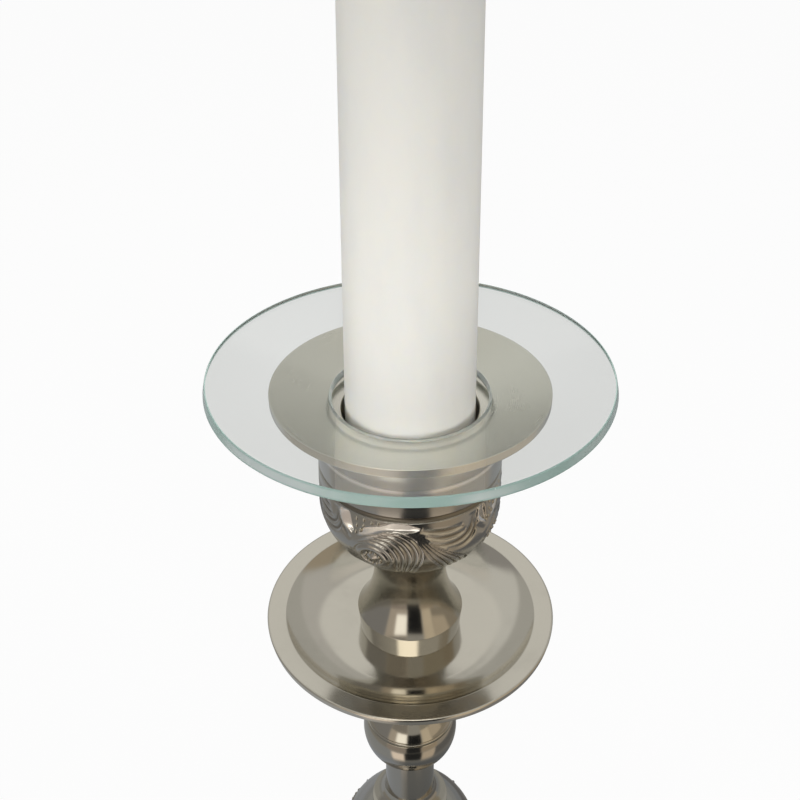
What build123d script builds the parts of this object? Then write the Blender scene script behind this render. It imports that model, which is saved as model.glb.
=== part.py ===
"""Tall turned candlestick with a pillar candle and a loose glass candle plate.

The castings stack on one threaded rod between a nut under the foot and a pricket in the
candle cup. The glass plate rests on the drip pan and the candle stands in the cup, so both
lift straight off. Millimetres, +Z up, origin at the centre of the underside.
"""

import os
from math import cos, hypot, radians, sin, sqrt, tan

from build123d import *

# Foot: felt, cover plate and domed casting
felt_thickness = 2.0
felt_inset = 1.5
cover_thickness = 1.5
cover_ledge = 6.0
cover_clearance = 0.15
base_neck_radius = 26.0
base_cove_radius = 18.0
base_dome_radius = 26.0
base_ledge_width = 8.0
base_rim_height = 8.0
base_rim_round = 3.0
base_step_height = 3.0
base_wall = 4.0

# Tie rod and what clamps it
rod_radius = 5.0
rod_bore_clearance = 0.25
thread_clearance = 0.02
rod_tail = 3.0
washer_radius = 11.0
washer_thickness = 2.0
nut_across_flats = 17.0
nut_height = 8.0

# Bells: the same turned shape above the foot and above the drip dish
bell_foot_radius = 23.0
bell_edge_radius = 24.0
bell_band_height = 11.5
bell_shoulder_height = 24.5
neck_radius = 16.1
lower_neck_length = 2.76
upper_neck_length = 12.1

# Lower knop, slim neck and bulb
knop_radius = 37.4
knop_top_radius = 20.0
slim_neck_radius = 12.6
slim_neck_height = 45.2
slim_neck_collar_height = 7.0
slim_neck_cove_height = 10.0
bulb_radius = 23.4
bulb_groove_rise = 9.0
bulb_groove_width = 1.8
bulb_groove_depth = 0.8

# Spool under the drip dish
spool_foot_radius = 15.0
spool_foot_height = 3.0
spool_waist_radius = 11.0
spool_waist_rise = 22.0
spool_flange_radius = 22.0
spool_flange_height = 5.0
spool_height = 50.6

# Drip dish
dish_radius = 65.8
dish_rim_thickness = 3.8
dish_rim_round = 0.9
dish_rise = 14.3
dish_lip_width = 8.7
dish_lip_fall = 0.7
dish_floor_thickness = 4.5
dish_seat_margin = 1.0
dish_floor_radius = 38.0
dish_floor_rise = 0.5
dish_bottom_radius = 44.0

# Candle cup
cup_radius = 38.6
cup_band_radius = 38.2
cup_bowl_rise = 29.3
cup_bowl_turn_radius = 33.0
cup_bowl_turn_rise = 12.8
cup_bowl_fullness = 0.9
cup_groove_rise = 44.3
cup_groove_width = 3.0
cup_groove_depth = 1.2
cup_height = 68.3
cup_rim_height = 2.0
cup_shoulder_height = 9.0
cup_mouth_radius = 34.0
cup_floor_rise = 12.3
spigot_wall = 2.2
spigot_length = 7.8
spigot_clearance = 0.1
spigot_end_gap = 0.2

# Pricket
pricket_seat_depth = 10.0
pricket_flange_radius = 8.0
pricket_flange_clearance = 0.3
pricket_spike_radius = 4.0
pricket_tip_radius = 0.6
pricket_spike_length = 28.0
pricket_thread_depth = 6.0
pricket_seat_clearance = 0.5

# Drip pan under the glass
pan_radius = 56.5
pan_hub_height = 1.95
pan_rim_thickness = 3.8
pan_rim_round = 0.8
pan_plate_gap = 1.1
pan_hollow = 0.5

# Glass candle plate
plate_radius = 80.0
plate_hole_radius = 31.0
plate_thickness = 4.0
plate_slope = 12.9
plate_rest_gap = 0.3
plate_hole_chamfer = 1.2
plate_edge_chamfer = 0.5

# Candle
candle_foot_radius = 27.2
candle_top_radius = 22.4
candle_length = 300.0
candle_top_round = 4.0
candle_clearance = 0.6
spike_clearance = 0.4
wick_radius = 1.4
wick_free_length = 10.0

# Sizes that follow from the ones above
rod_bore = rod_radius + rod_bore_clearance
socket_radius = candle_foot_radius + candle_clearance
step_radius = base_neck_radius + base_cove_radius + base_dome_radius
dome_centre_radius = base_neck_radius + base_cove_radius
base_radius = step_radius + base_ledge_width
step_top = base_rim_height + base_step_height
base_height = step_top + base_dome_radius + base_cove_radius
cavity_radius = step_radius - base_wall
nut_seat = step_top + base_dome_radius - base_wall
cover_radius = cavity_radius + cover_ledge
bell_neck_rise = bell_band_height + bell_shoulder_height
knop_foot_drop = sqrt(knop_radius**2 - neck_radius**2)
knop_top_rise = sqrt(knop_radius**2 - knop_top_radius**2)
bulb_foot_drop = sqrt(bulb_radius**2 - slim_neck_radius**2)
bulb_top_rise = sqrt(bulb_radius**2 - spool_foot_radius**2)
plate_fall = tan(radians(plate_slope))
cup_shoulder_rise = cup_height - cup_rim_height
cup_band_rise = cup_shoulder_rise - cup_shoulder_height
pan_lip_rise = pan_hub_height + pan_rim_thickness - (cup_mouth_radius - socket_radius) * plate_fall
pan_rise = pan_lip_rise + (pan_radius - socket_radius) * plate_fall + pan_plate_gap

# Seat heights of the stack, from the underside up
base_seat = felt_thickness
lower_bell_seat = base_seat + base_height
lower_bell_height = bell_neck_rise + lower_neck_length
knop_seat = lower_bell_seat + lower_bell_height
knop_centre = knop_seat + knop_foot_drop
slim_neck_seat = knop_centre + knop_top_rise
bulb_seat = slim_neck_seat + slim_neck_height
bulb_centre = bulb_seat + bulb_foot_drop
spool_seat = bulb_centre + bulb_top_rise
dish_seat = spool_seat + spool_height
upper_bell_seat = dish_seat + dish_floor_thickness
upper_bell_height = bell_neck_rise + upper_neck_length
cup_seat = upper_bell_seat + upper_bell_height
pan_seat = cup_seat + cup_height
candle_seat = cup_seat + cup_floor_rise
pricket_seat = candle_seat - pricket_seat_depth
spike_tip = candle_seat + pricket_spike_length
rod_bottom = base_seat + nut_seat - washer_thickness - nut_height - rod_tail
rod_top = pricket_seat + washer_thickness + pricket_thread_depth


def section_at(height: float) -> Plane:
    """Upright plane through the axis with its origin at a height; local y points up."""
    return Plane(origin=(0, 0, height), x_dir=(1, 0, 0), z_dir=(0, -1, 0))


def on_circle(centre: tuple, radius: float, angle: float) -> tuple:
    """Point of a circle in a section, at an angle in degrees from outwards."""
    turn = radians(angle)
    return (centre[0] + radius * cos(turn), centre[1] + radius * sin(turn))


def bowed(start: tuple, end: tuple, bulge: float) -> tuple:
    """Point beside the middle of a chord, to the right of its direction by bulge."""
    run = (end[0] - start[0], end[1] - start[1])
    length = hypot(*run)
    middle = ((start[0] + end[0]) / 2, (start[1] + end[1]) / 2)
    return (middle[0] + run[1] / length * bulge, middle[1] - run[0] / length * bulge)


def bell_outline(neck_length: float) -> None:
    """Half section of a bell: foot band, sharp edge, shoulder that sweeps up, and neck."""
    top = bell_neck_rise + neck_length
    edge = (bell_edge_radius, bell_band_height)
    neck_foot = (neck_radius, bell_neck_rise)
    with BuildLine() as outline:
        Polyline((rod_bore, top), (rod_bore, 0), (bell_foot_radius, 0), edge)
        TangentArc(neck_foot, edge, tangent=(0, -1))
        Polyline(neck_foot, (neck_radius, top), (rod_bore, top))
    make_face(outline.edges())


def groove_outline(radius: float, rise: float, width: float, depth: float) -> None:
    """Round-bottomed groove cut into a turned face of the given radius."""
    low = (radius, rise - width / 2)
    high = (radius, rise + width / 2)
    out_low = (radius + width, rise - width / 2)
    out_high = (radius + width, rise + width / 2)
    with BuildLine() as outline:
        Polyline(low, out_low, out_high, high)
        ThreePointArc(high, (radius - depth, rise), low)
    make_face(outline.edges())


# Felt disc glued under the foot
with BuildPart() as felt_pad:
    with BuildSketch(Plane.XY):
        Circle(base_radius - felt_inset)
    extrude(amount=felt_thickness)
felt_pad.part.label = "felt_pad"

# Sheet cover that closes the hollow foot
with BuildPart() as base_cover:
    with BuildSketch(Plane.XY.offset(base_seat)):
        Circle(cover_radius)
    extrude(amount=cover_thickness)
base_cover.part.label = "base_cover"

# Domed and stepped foot, hollow from below
with BuildPart() as base_foot:
    with BuildSketch(section_at(base_seat)):
        dome_centre = (dome_centre_radius, step_top)
        cove_centre = (dome_centre_radius, base_height)
        inner_dome_radius = base_dome_radius - base_wall
        dome_top = (dome_centre_radius, step_top + base_dome_radius)
        rim_centre = (base_radius - base_rim_round, base_rim_height - base_rim_round)
        rebate = cover_radius + cover_clearance
        with BuildLine():
            Polyline((rod_bore, base_height), (rod_bore, nut_seat), (dome_centre_radius, nut_seat))
            ThreePointArc(
                (dome_centre_radius, nut_seat),
                on_circle(dome_centre, inner_dome_radius, 45),
                (cavity_radius, step_top),
            )
            Polyline(
                (cavity_radius, step_top),
                (cavity_radius, cover_thickness),
                (rebate, cover_thickness),
                (rebate, 0),
                (base_radius, 0),
                (base_radius, rim_centre[1]),
            )
            ThreePointArc(
                (base_radius, rim_centre[1]),
                on_circle(rim_centre, base_rim_round, 45),
                (rim_centre[0], base_rim_height),
            )
            Polyline(
                (rim_centre[0], base_rim_height),
                (step_radius, base_rim_height),
                (step_radius, step_top),
            )
            ThreePointArc((step_radius, step_top), on_circle(dome_centre, base_dome_radius, 45), dome_top)
            ThreePointArc(
                dome_top,
                on_circle(cove_centre, base_cove_radius, 225),
                (base_neck_radius, base_height),
            )
            Line((base_neck_radius, base_height), (rod_bore, base_height))
        make_face()
    revolve(axis=Axis.Z)
base_foot.part.label = "base_foot"

# Washer and nut that pull the rod down inside the foot
with BuildPart() as base_washer:
    with BuildSketch(Plane.XY.offset(base_seat + nut_seat - washer_thickness)):
        Circle(washer_radius)
        Circle(rod_bore, mode=Mode.SUBTRACT)
    extrude(amount=washer_thickness)
base_washer.part.label = "base_washer"

with BuildPart() as base_nut:
    with BuildSketch(Plane.XY.offset(base_seat + nut_seat - washer_thickness - nut_height)):
        RegularPolygon(nut_across_flats / 2, 6, major_radius=False)
        Circle(rod_radius + thread_clearance, mode=Mode.SUBTRACT)
    extrude(amount=nut_height)
base_nut.part.label = "base_nut"

# Threaded rod through the whole stem
with BuildPart() as tie_rod:
    with BuildSketch(Plane.XY.offset(rod_bottom)):
        Circle(rod_radius)
    extrude(amount=rod_top - rod_bottom)
tie_rod.part.label = "tie_rod"

# Bell between the foot and the knop
with BuildPart() as lower_bell:
    with BuildSketch(section_at(lower_bell_seat)):
        bell_outline(lower_neck_length)
    revolve(axis=Axis.Z)
lower_bell.part.label = "lower_bell"

# Ball knop
with BuildPart() as lower_knop:
    with BuildSketch(section_at(knop_centre)):
        with BuildLine():
            Polyline(
                (knop_top_radius, knop_top_rise),
                (rod_bore, knop_top_rise),
                (rod_bore, -knop_foot_drop),
                (neck_radius, -knop_foot_drop),
            )
            ThreePointArc(
                (neck_radius, -knop_foot_drop),
                (knop_radius, 0),
                (knop_top_radius, knop_top_rise),
            )
        make_face()
    revolve(axis=Axis.Z)
lower_knop.part.label = "lower_knop"

# Slim neck that flares to a collar on the knop
with BuildPart() as slim_neck:
    with BuildSketch(section_at(slim_neck_seat)):
        collar_top = (knop_top_radius, slim_neck_collar_height)
        cove_top = (slim_neck_radius, slim_neck_collar_height + slim_neck_cove_height)
        with BuildLine():
            Polyline((rod_bore, slim_neck_height), (rod_bore, 0), (knop_top_radius, 0), collar_top)
            TangentArc(cove_top, collar_top, tangent=(0, -1))
            Polyline(cove_top, (slim_neck_radius, slim_neck_height), (rod_bore, slim_neck_height))
        make_face()
    revolve(axis=Axis.Z)
slim_neck.part.label = "slim_neck"

# Bulb under the dish, with a turned groove on its shoulder
with BuildPart() as stem_bulb:
    with BuildSketch(section_at(bulb_centre)):
        with BuildLine():
            Polyline(
                (spool_foot_radius, bulb_top_rise),
                (rod_bore, bulb_top_rise),
                (rod_bore, -bulb_foot_drop),
                (slim_neck_radius, -bulb_foot_drop),
            )
            ThreePointArc(
                (slim_neck_radius, -bulb_foot_drop),
                (bulb_radius, 0),
                (spool_foot_radius, bulb_top_rise),
            )
        make_face()
    revolve(axis=Axis.Z)
    with BuildSketch(section_at(bulb_centre)):
        groove_radius = sqrt(bulb_radius**2 - bulb_groove_rise**2)
        groove_outline(groove_radius, bulb_groove_rise, bulb_groove_width, bulb_groove_depth)
    revolve(axis=Axis.Z, mode=Mode.SUBTRACT)
stem_bulb.part.label = "stem_bulb"

# Spool that carries the dish
with BuildPart() as dish_spool:
    with BuildSketch(section_at(spool_seat)):
        foot_top = (spool_foot_radius, spool_foot_height)
        waist = (spool_waist_radius, spool_waist_rise)
        flange_foot = (spool_flange_radius, spool_height - spool_flange_height)
        with BuildLine():
            Polyline((rod_bore, spool_height), (rod_bore, 0), (spool_foot_radius, 0), foot_top)
            TangentArc(waist, foot_top, tangent=(0, -1))
            TangentArc(waist, flange_foot, tangent=(0, 1))
            Polyline(flange_foot, (spool_flange_radius, spool_height), (rod_bore, spool_height))
        make_face()
    revolve(axis=Axis.Z)
dish_spool.part.label = "dish_spool"

# Drip dish: nearly level floor that sweeps up to a nearly level lip
with BuildPart() as drip_dish:
    with BuildSketch(section_at(dish_seat)):
        lip_radius = dish_radius - dish_lip_width
        seat_edge = (bell_edge_radius + dish_seat_margin, dish_floor_thickness)
        floor_edge = (dish_floor_radius, dish_floor_thickness + dish_floor_rise)
        floor_run = (floor_edge[0] - seat_edge[0], dish_floor_rise)
        lip_edge = (lip_radius, dish_rise - dish_lip_fall)
        rim_crest = (dish_radius - dish_rim_round, dish_rise)
        rim_side = (dish_radius, dish_rise - dish_rim_round)
        rim_foot = (dish_radius, dish_rise - dish_rim_thickness)
        rim_round_centre = (dish_radius - dish_rim_round, dish_rise - dish_rim_round)
        with BuildLine():
            Polyline(
                floor_edge,
                seat_edge,
                (rod_bore, dish_floor_thickness),
                (rod_bore, 0),
                (dish_bottom_radius, 0),
                rim_foot,
                rim_side,
            )
            ThreePointArc(rim_side, on_circle(rim_round_centre, dish_rim_round, 45), rim_crest)
            Line(rim_crest, lip_edge)
            TangentArc(floor_edge, lip_edge, tangent=floor_run)
        make_face()
    revolve(axis=Axis.Z)
drip_dish.part.label = "drip_dish"

# Bell between the dish and the candle cup
with BuildPart() as upper_bell:
    with BuildSketch(section_at(upper_bell_seat)):
        bell_outline(upper_neck_length)
    revolve(axis=Axis.Z)
upper_bell.part.label = "upper_bell"

# Candle cup: bowl, grooved band, round shoulder, socket and a recess for the pricket
with BuildPart() as candle_cup:
    with BuildSketch(section_at(cup_seat)):
        bowl_foot = (neck_radius, 0)
        bowl_turn = (cup_bowl_turn_radius, cup_bowl_turn_rise)
        bowl_side = (cup_radius, cup_bowl_rise)
        band_foot = (cup_band_radius, cup_groove_rise)
        band_top = (cup_band_radius, cup_band_rise)
        shoulder = (cup_mouth_radius, cup_shoulder_rise)
        shoulder_bulge = (cup_band_radius - cup_mouth_radius) / 3
        spigot_bore = socket_radius + spigot_wall + spigot_clearance
        spigot_floor = cup_height - spigot_length - spigot_end_gap
        recess_radius = washer_radius + pricket_seat_clearance
        recess_floor = cup_floor_rise - pricket_seat_depth
        with BuildLine():
            ThreePointArc(bowl_foot, bowed(bowl_foot, bowl_turn, cup_bowl_fullness), bowl_turn)
            TangentArc(bowl_side, bowl_turn, tangent=(0, -1))
            Line(bowl_side, band_foot)
            Line(band_foot, band_top)
            ThreePointArc(band_top, bowed(band_top, shoulder, shoulder_bulge), shoulder)
            Polyline(
                shoulder,
                (cup_mouth_radius, cup_height),
                (spigot_bore, cup_height),
                (spigot_bore, spigot_floor),
                (socket_radius, spigot_floor),
                (socket_radius, cup_floor_rise),
                (recess_radius, cup_floor_rise),
                (recess_radius, recess_floor),
                (rod_bore, recess_floor),
                (rod_bore, 0),
                bowl_foot,
            )
        make_face()
    revolve(axis=Axis.Z)
    with BuildSketch(section_at(cup_seat)):
        groove_outline(cup_band_radius, cup_groove_rise, cup_groove_width, cup_groove_depth)
    revolve(axis=Axis.Z, mode=Mode.SUBTRACT)
candle_cup.part.label = "candle_cup"

# Washer and pricket that clamp the rod inside the cup
with BuildPart() as cup_washer:
    with BuildSketch(Plane.XY.offset(pricket_seat)):
        Circle(washer_radius)
        Circle(rod_bore, mode=Mode.SUBTRACT)
    extrude(amount=washer_thickness)
cup_washer.part.label = "cup_washer"

with BuildPart() as pricket:
    with BuildSketch(section_at(pricket_seat + washer_thickness)):
        flange_height = pricket_seat_depth - washer_thickness - pricket_flange_clearance
        spike_height = spike_tip - pricket_seat - washer_thickness
        thread_bore = rod_radius + thread_clearance
        thread_end = pricket_thread_depth + thread_clearance
        with BuildLine():
            Polyline(
                (thread_bore, 0),
                (pricket_flange_radius, 0),
                (pricket_flange_radius, flange_height),
                (pricket_spike_radius, flange_height),
                (pricket_tip_radius, spike_height),
                (0, spike_height),
                (0, thread_end),
                (thread_bore, thread_end),
                close=True,
            )
        make_face()
    revolve(axis=Axis.Z)
pricket.part.label = "pricket"

# Drip pan that plugs into the mouth of the cup
with BuildPart() as drip_pan:
    with BuildSketch(section_at(pan_seat)):
        spigot_radius = socket_radius + spigot_wall
        pan_lip = (socket_radius, pan_lip_rise)
        pan_crest = (pan_radius - pan_rim_round, pan_rise)
        pan_side = (pan_radius, pan_rise - pan_rim_round)
        pan_foot = (pan_radius, pan_rise - pan_rim_thickness)
        pan_round_centre = (pan_radius - pan_rim_round, pan_rise - pan_rim_round)
        with BuildLine():
            Polyline(
                pan_lip,
                (socket_radius, -spigot_length),
                (spigot_radius, -spigot_length),
                (spigot_radius, 0),
                (cup_mouth_radius, 0),
                (cup_mouth_radius, pan_hub_height),
                pan_foot,
                pan_side,
            )
            ThreePointArc(pan_side, on_circle(pan_round_centre, pan_rim_round, 45), pan_crest)
            ThreePointArc(pan_crest, bowed(pan_crest, pan_lip, -pan_hollow), pan_lip)
        make_face()
    revolve(axis=Axis.Z)
drip_pan.part.label = "drip_pan"

# Glass candle plate: a shallow cone with a ground hole, resting on the rim of the pan
with BuildPart() as glass_plate:
    with BuildSketch(section_at(pan_seat)):
        rest_radius = pan_radius - pan_rim_round
        lift = plate_thickness / cos(radians(plate_slope))
        plate_under = pan_rise + plate_rest_gap - rest_radius * plate_fall
        plate_upper = plate_under + lift
        slant_out = plate_thickness * sin(radians(plate_slope))
        slant_down = plate_thickness * cos(radians(plate_slope))
        hole_top = (plate_hole_radius, plate_upper + plate_hole_radius * plate_fall)
        edge_top = (plate_radius, plate_upper + plate_radius * plate_fall)
        with BuildLine():
            Polyline(
                hole_top,
                edge_top,
                (edge_top[0] + slant_out, edge_top[1] - slant_down),
                (hole_top[0] + slant_out, hole_top[1] - slant_down),
                close=True,
            )
        plate_section = make_face()
        corners = plate_section.vertices().sort_by(Axis.X)
        chamfer(corners[:2], plate_hole_chamfer)
        chamfer(corners[2:], plate_edge_chamfer)
    revolve(axis=Axis.Z)
glass_plate.part.label = "glass_plate"

# Candle with its draft, its spike hole and the wick channel
with BuildPart() as candle:
    with BuildSketch(section_at(candle_seat)):
        spike_hole_radius = pricket_spike_radius + spike_clearance
        spike_hole_depth = pricket_spike_length + spike_clearance
        crown_edge = (candle_top_radius - candle_top_round, candle_length)
        crown_side = (candle_top_radius, candle_length - candle_top_round)
        crown_centre = (candle_top_radius - candle_top_round, candle_length - candle_top_round)
        with BuildLine():
            Polyline(
                (wick_radius, candle_length),
                (wick_radius, spike_hole_depth),
                (spike_hole_radius, 0),
                (candle_foot_radius, 0),
                crown_side,
            )
            ThreePointArc(crown_side, on_circle(crown_centre, candle_top_round, 45), crown_edge)
            Line(crown_edge, (wick_radius, candle_length))
        make_face()
    revolve(axis=Axis.Z)
candle.part.label = "candle"

with BuildPart() as wick:
    with BuildSketch(Plane.XY.offset(candle_seat + pricket_spike_length + spike_clearance)):
        Circle(wick_radius)
    extrude(amount=candle_length + wick_free_length - pricket_spike_length - spike_clearance)
wick.part.label = "wick"

# One file per piece
pieces = [
    felt_pad,
    base_cover,
    base_foot,
    base_washer,
    base_nut,
    tie_rod,
    lower_bell,
    lower_knop,
    slim_neck,
    stem_bulb,
    dish_spool,
    drip_dish,
    upper_bell,
    candle_cup,
    cup_washer,
    pricket,
    drip_pan,
    glass_plate,
    candle,
    wick,
]
os.makedirs("parts", exist_ok=True)
for piece in pieces:
    export_step(piece.part, f"parts/{piece.part.label}.step")
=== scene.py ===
"""Dressed candlestick: nickel-plated stem, dished glass candle plate and pillar candle.

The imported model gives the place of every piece. Turned pieces are lathed again here with
rounded edges and fine rings, the cup and the knop get their carved leaf scrolls, and every
surface gets a node-based finish. Pieces are in millimetres until they reach a mesh, and the
studio is in metres.
"""

from __future__ import annotations

import logging
import math
from dataclasses import dataclass, field
from enum import Enum
from typing import Any, Callable, Sequence

import bpy
import numpy as np
from mathutils import Matrix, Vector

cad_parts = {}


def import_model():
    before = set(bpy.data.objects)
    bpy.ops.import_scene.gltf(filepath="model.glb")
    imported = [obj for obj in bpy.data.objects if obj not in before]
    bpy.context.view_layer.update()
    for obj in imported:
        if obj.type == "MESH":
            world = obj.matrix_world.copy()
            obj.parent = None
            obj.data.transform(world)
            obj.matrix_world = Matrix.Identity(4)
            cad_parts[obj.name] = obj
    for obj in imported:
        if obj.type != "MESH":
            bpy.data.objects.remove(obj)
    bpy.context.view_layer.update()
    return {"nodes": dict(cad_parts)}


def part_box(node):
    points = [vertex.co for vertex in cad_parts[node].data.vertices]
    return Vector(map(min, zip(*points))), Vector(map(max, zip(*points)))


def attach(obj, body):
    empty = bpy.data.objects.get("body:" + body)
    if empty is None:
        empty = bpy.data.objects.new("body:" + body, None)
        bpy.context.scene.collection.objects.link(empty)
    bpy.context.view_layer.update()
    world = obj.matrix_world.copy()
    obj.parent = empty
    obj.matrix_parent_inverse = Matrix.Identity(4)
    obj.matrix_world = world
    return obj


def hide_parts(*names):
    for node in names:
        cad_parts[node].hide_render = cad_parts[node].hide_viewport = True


LOG = logging.getLogger("candlestick")
MM = 0.001
WHITE = (1.0, 1.0, 1.0, 1.0)
Point = tuple[float, float]
Colour = tuple[float, float, float]
Material = bpy.types.Material

# Sizes that several pieces share, in millimetres, and the glass's slope in degrees
BORE = 5.25
NECK_RADIUS = 16.1
SLIM_RADIUS = 12.6
SPOOL_FOOT = 15.0
SOCKET_RADIUS = 27.8
GLASS_SLOPE = 12.9


class Body(str, Enum):
    """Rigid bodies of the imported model."""

    STAND = "stand"
    PLATE = "plate"
    CANDLE = "candle"


class Slot(str, Enum):
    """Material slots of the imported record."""

    NICKEL = "nickel_plate"
    GLASS = "clear_glass"
    WAX = "wax"
    COTTON = "cotton"
    FELT = "felt"


class Relief(float, Enum):
    """Values of the relief attribute on the carved pieces."""

    CUT = 0.0
    WORKED = 0.8
    SMOOTH = 1.0
    # Rubbed faces, which carry a painted highlight as well as wear
    WEAR_AND_HIGHLIGHT = 2.0
    BRUSHED = 3.0


class Wire:
    """A shader value that takes Python operators and adds the Math nodes they stand for."""

    def __init__(self, graph: Graph, socket: bpy.types.NodeSocket) -> None:
        """Keep the graph and the output socket."""
        self.graph = graph
        self.socket = socket

    def __add__(self, other: Any) -> Wire:
        """Sum."""
        return self.graph.math("ADD", self, other)

    __radd__ = __add__

    def __sub__(self, other: Any) -> Wire:
        """Difference."""
        return self.graph.math("SUBTRACT", self, other)

    def __rsub__(self, other: Any) -> Wire:
        """Difference from a plain number."""
        return self.graph.math("SUBTRACT", other, self)

    def __mul__(self, other: Any) -> Wire:
        """Product."""
        return self.graph.math("MULTIPLY", self, other)

    __rmul__ = __mul__


@dataclass(frozen=True)
class Grain:
    """One noise pattern: cells per metre, octaves and how strongly the fine ones show."""

    scale: float
    detail: float
    rough: float


class Graph:
    """Node tree of a material, of the world or of a Geometry Nodes tool."""

    def __init__(self, tree: bpy.types.NodeTree) -> None:
        """Empty the tree."""
        self.tree = tree
        tree.nodes.clear()

    def node(self, kind: str, settings: dict[str, Any] | None = None, **sockets: Any) -> bpy.types.Node:
        """Add a node.

        Args:
            kind: the node's type.
            settings: properties that are set before the sockets.
            sockets: values or wires by socket name, with _ for a space.

        Returns:
            The new node.
        """
        made = self.tree.nodes.new(kind)
        for key, value in (settings or {}).items():
            setattr(made, key, value)
        for key, value in sockets.items():
            self.feed(made.inputs[key.replace("_", " ")], value)
        return made

    def feed(self, socket: bpy.types.NodeSocket, value: Any) -> None:
        """Link a wire to a socket, or set the socket's own value.

        Args:
            socket: input of a node.
            value: a wire or a plain value.
        """
        if isinstance(value, Wire):
            self.tree.links.new(value.socket, socket)
        else:
            socket.default_value = value

    def out(self, made: bpy.types.Node, output: int | str = 0) -> Wire:
        """Wrap one output of a node."""
        return Wire(self, made.outputs[output])

    def math(self, operation: str, *values: Any) -> Wire:
        """Add a Math node on wires and numbers.

        Args:
            operation: what the node does.
            values: wires and numbers in the order of its inputs.

        Returns:
            The result.
        """
        made = self.node("ShaderNodeMath", {"operation": operation})
        for socket, value in zip(made.inputs, values):
            self.feed(socket, value)
        return self.out(made)

    def mix(self, factor: Any, first: Any, second: Any) -> Wire:
        """Blend two colours.

        Args:
            factor: share of the second colour.
            first: colour at factor 0, as a wire or RGBA.
            second: colour at factor 1, as a wire or RGBA.

        Returns:
            The blended colour.
        """
        made = self.node("ShaderNodeMix", {"data_type": "RGBA"})
        # The colours have inputs 6 and 7 and output 2 of this node
        for index, value in ((0, factor), (6, first), (7, second)):
            self.feed(made.inputs[index], value)
        return self.out(made, 2)

    def fade(self, value: Wire, low: float, high: float) -> Wire:
        """Smooth step from 0 at low to 1 at high."""
        settings = {"interpolation_type": "SMOOTHSTEP"}
        return self.out(self.node("ShaderNodeMapRange", settings, Value=value, From_Min=low, From_Max=high))

    def noise(self, vector: Wire, grain: Grain) -> Wire:
        """Noise value on a vector."""
        sizes = {"Scale": grain.scale, "Detail": grain.detail, "Roughness": grain.rough}
        return self.out(self.node("ShaderNodeTexNoise", Vector=vector, **sizes))

    def coordinate(self) -> Wire:
        """Object coordinates in metres."""
        return self.out(self.node("ShaderNodeTexCoord"), "Object")

    def split(self, vector: Wire) -> list[Wire]:
        """The x, y and z of a vector."""
        made = self.node("ShaderNodeSeparateXYZ", Vector=vector)
        return [self.out(made, axis) for axis in range(3)]

    def vector(self, x: Any, y: Any, z: Any) -> Wire:
        """Vector from three values."""
        return self.out(self.node("ShaderNodeCombineXYZ", X=x, Y=y, Z=z))

    def radius(self, x: Wire, y: Wire) -> Wire:
        """Distance from the Z axis."""
        return self.math("SQRT", x * x + y * y)

    def attribute(self, name: str, output: str) -> Wire:
        """Value of one of the mesh's attributes."""
        return self.out(self.node("ShaderNodeAttribute", {"attribute_name": name}), output)

    def bump(self, height: Wire, strength: float, distance: float) -> Wire:
        """Normal from a height, with the distance in millimetres."""
        return self.out(self.node("ShaderNodeBump", Height=height, Strength=strength, Distance=distance * MM))

    def blend(self, factor: Wire, first: bpy.types.Node, second: bpy.types.Node) -> bpy.types.Node:
        """Mix two shaders, with the factor as the share of the second.

        Args:
            factor: share of the second shader.
            first: shader at factor 0.
            second: shader at factor 1.

        Returns:
            The node that mixes them.
        """
        made = self.node("ShaderNodeMixShader", Fac=factor)
        for socket, shader in zip(made.inputs[1:], (first, second)):
            self.feed(socket, self.out(shader))
        return made

    def surface(self, shader: bpy.types.Node) -> None:
        """Send a shader to the material's output."""
        self.node("ShaderNodeOutputMaterial", Surface=self.out(shader))


def rgba(colour: Colour, share: float = 1.0) -> tuple[float, ...]:
    """Colour times a share, with full alpha."""
    return (*(share * value for value in colour), 1.0)


def ease(value: np.ndarray, low: float, high: float) -> np.ndarray:
    """Smooth step from 0 at low to 1 at high."""
    share = np.clip((value - low) / (high - low), 0, 1)
    return share * share * (3 - 2 * share)


def ridge(value: np.ndarray, middle: float, width: float) -> np.ndarray:
    """Round ridge of height 1 about a middle."""
    return np.exp(-(((value - middle) / width) ** 2))


def leg(longest: float, other: float) -> float:
    """Third side of a right triangle from its longest side and another."""
    return math.sqrt(longest**2 - other**2)


def about_axis(across: Any, turn: Any, height: Any) -> np.ndarray:
    """Points from their distance to the axis, their turn from the front and their height."""
    return np.stack(np.broadcast_arrays(across * np.sin(turn), -across * np.cos(turn), height), axis=-1)


def new_material(name: str) -> tuple[Material, Graph]:
    """Empty node material and its graph.

    Args:
        name: name of the material.

    Returns:
        The material and its graph.
    """
    material = bpy.data.materials.new(name)
    material.use_nodes = True
    return material, Graph(material.node_tree)


def new_mesh(
    name: str, points: Sequence[Any], edges: Sequence[Any] = (), faces: Sequence[Any] = ()
) -> bpy.types.Mesh:
    """Mesh from points in metres, edges and faces.

    Args:
        name: name of the mesh.
        points: points in metres.
        edges: pairs of point numbers.
        faces: rounds of point numbers.

    Returns:
        The new mesh.
    """
    mesh = bpy.data.meshes.new(name)
    mesh.from_pydata([tuple(point) for point in points], edges, faces)
    return mesh


def add_object(name: str, data: bpy.types.ID) -> bpy.types.Object:
    """Add an object to the scene, at the origin.

    Args:
        name: name of the object.
        data: its mesh, lamp or camera.

    Returns:
        The new object.
    """
    made = bpy.data.objects.new(name, data)
    bpy.context.scene.collection.objects.link(made)
    return made


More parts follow.
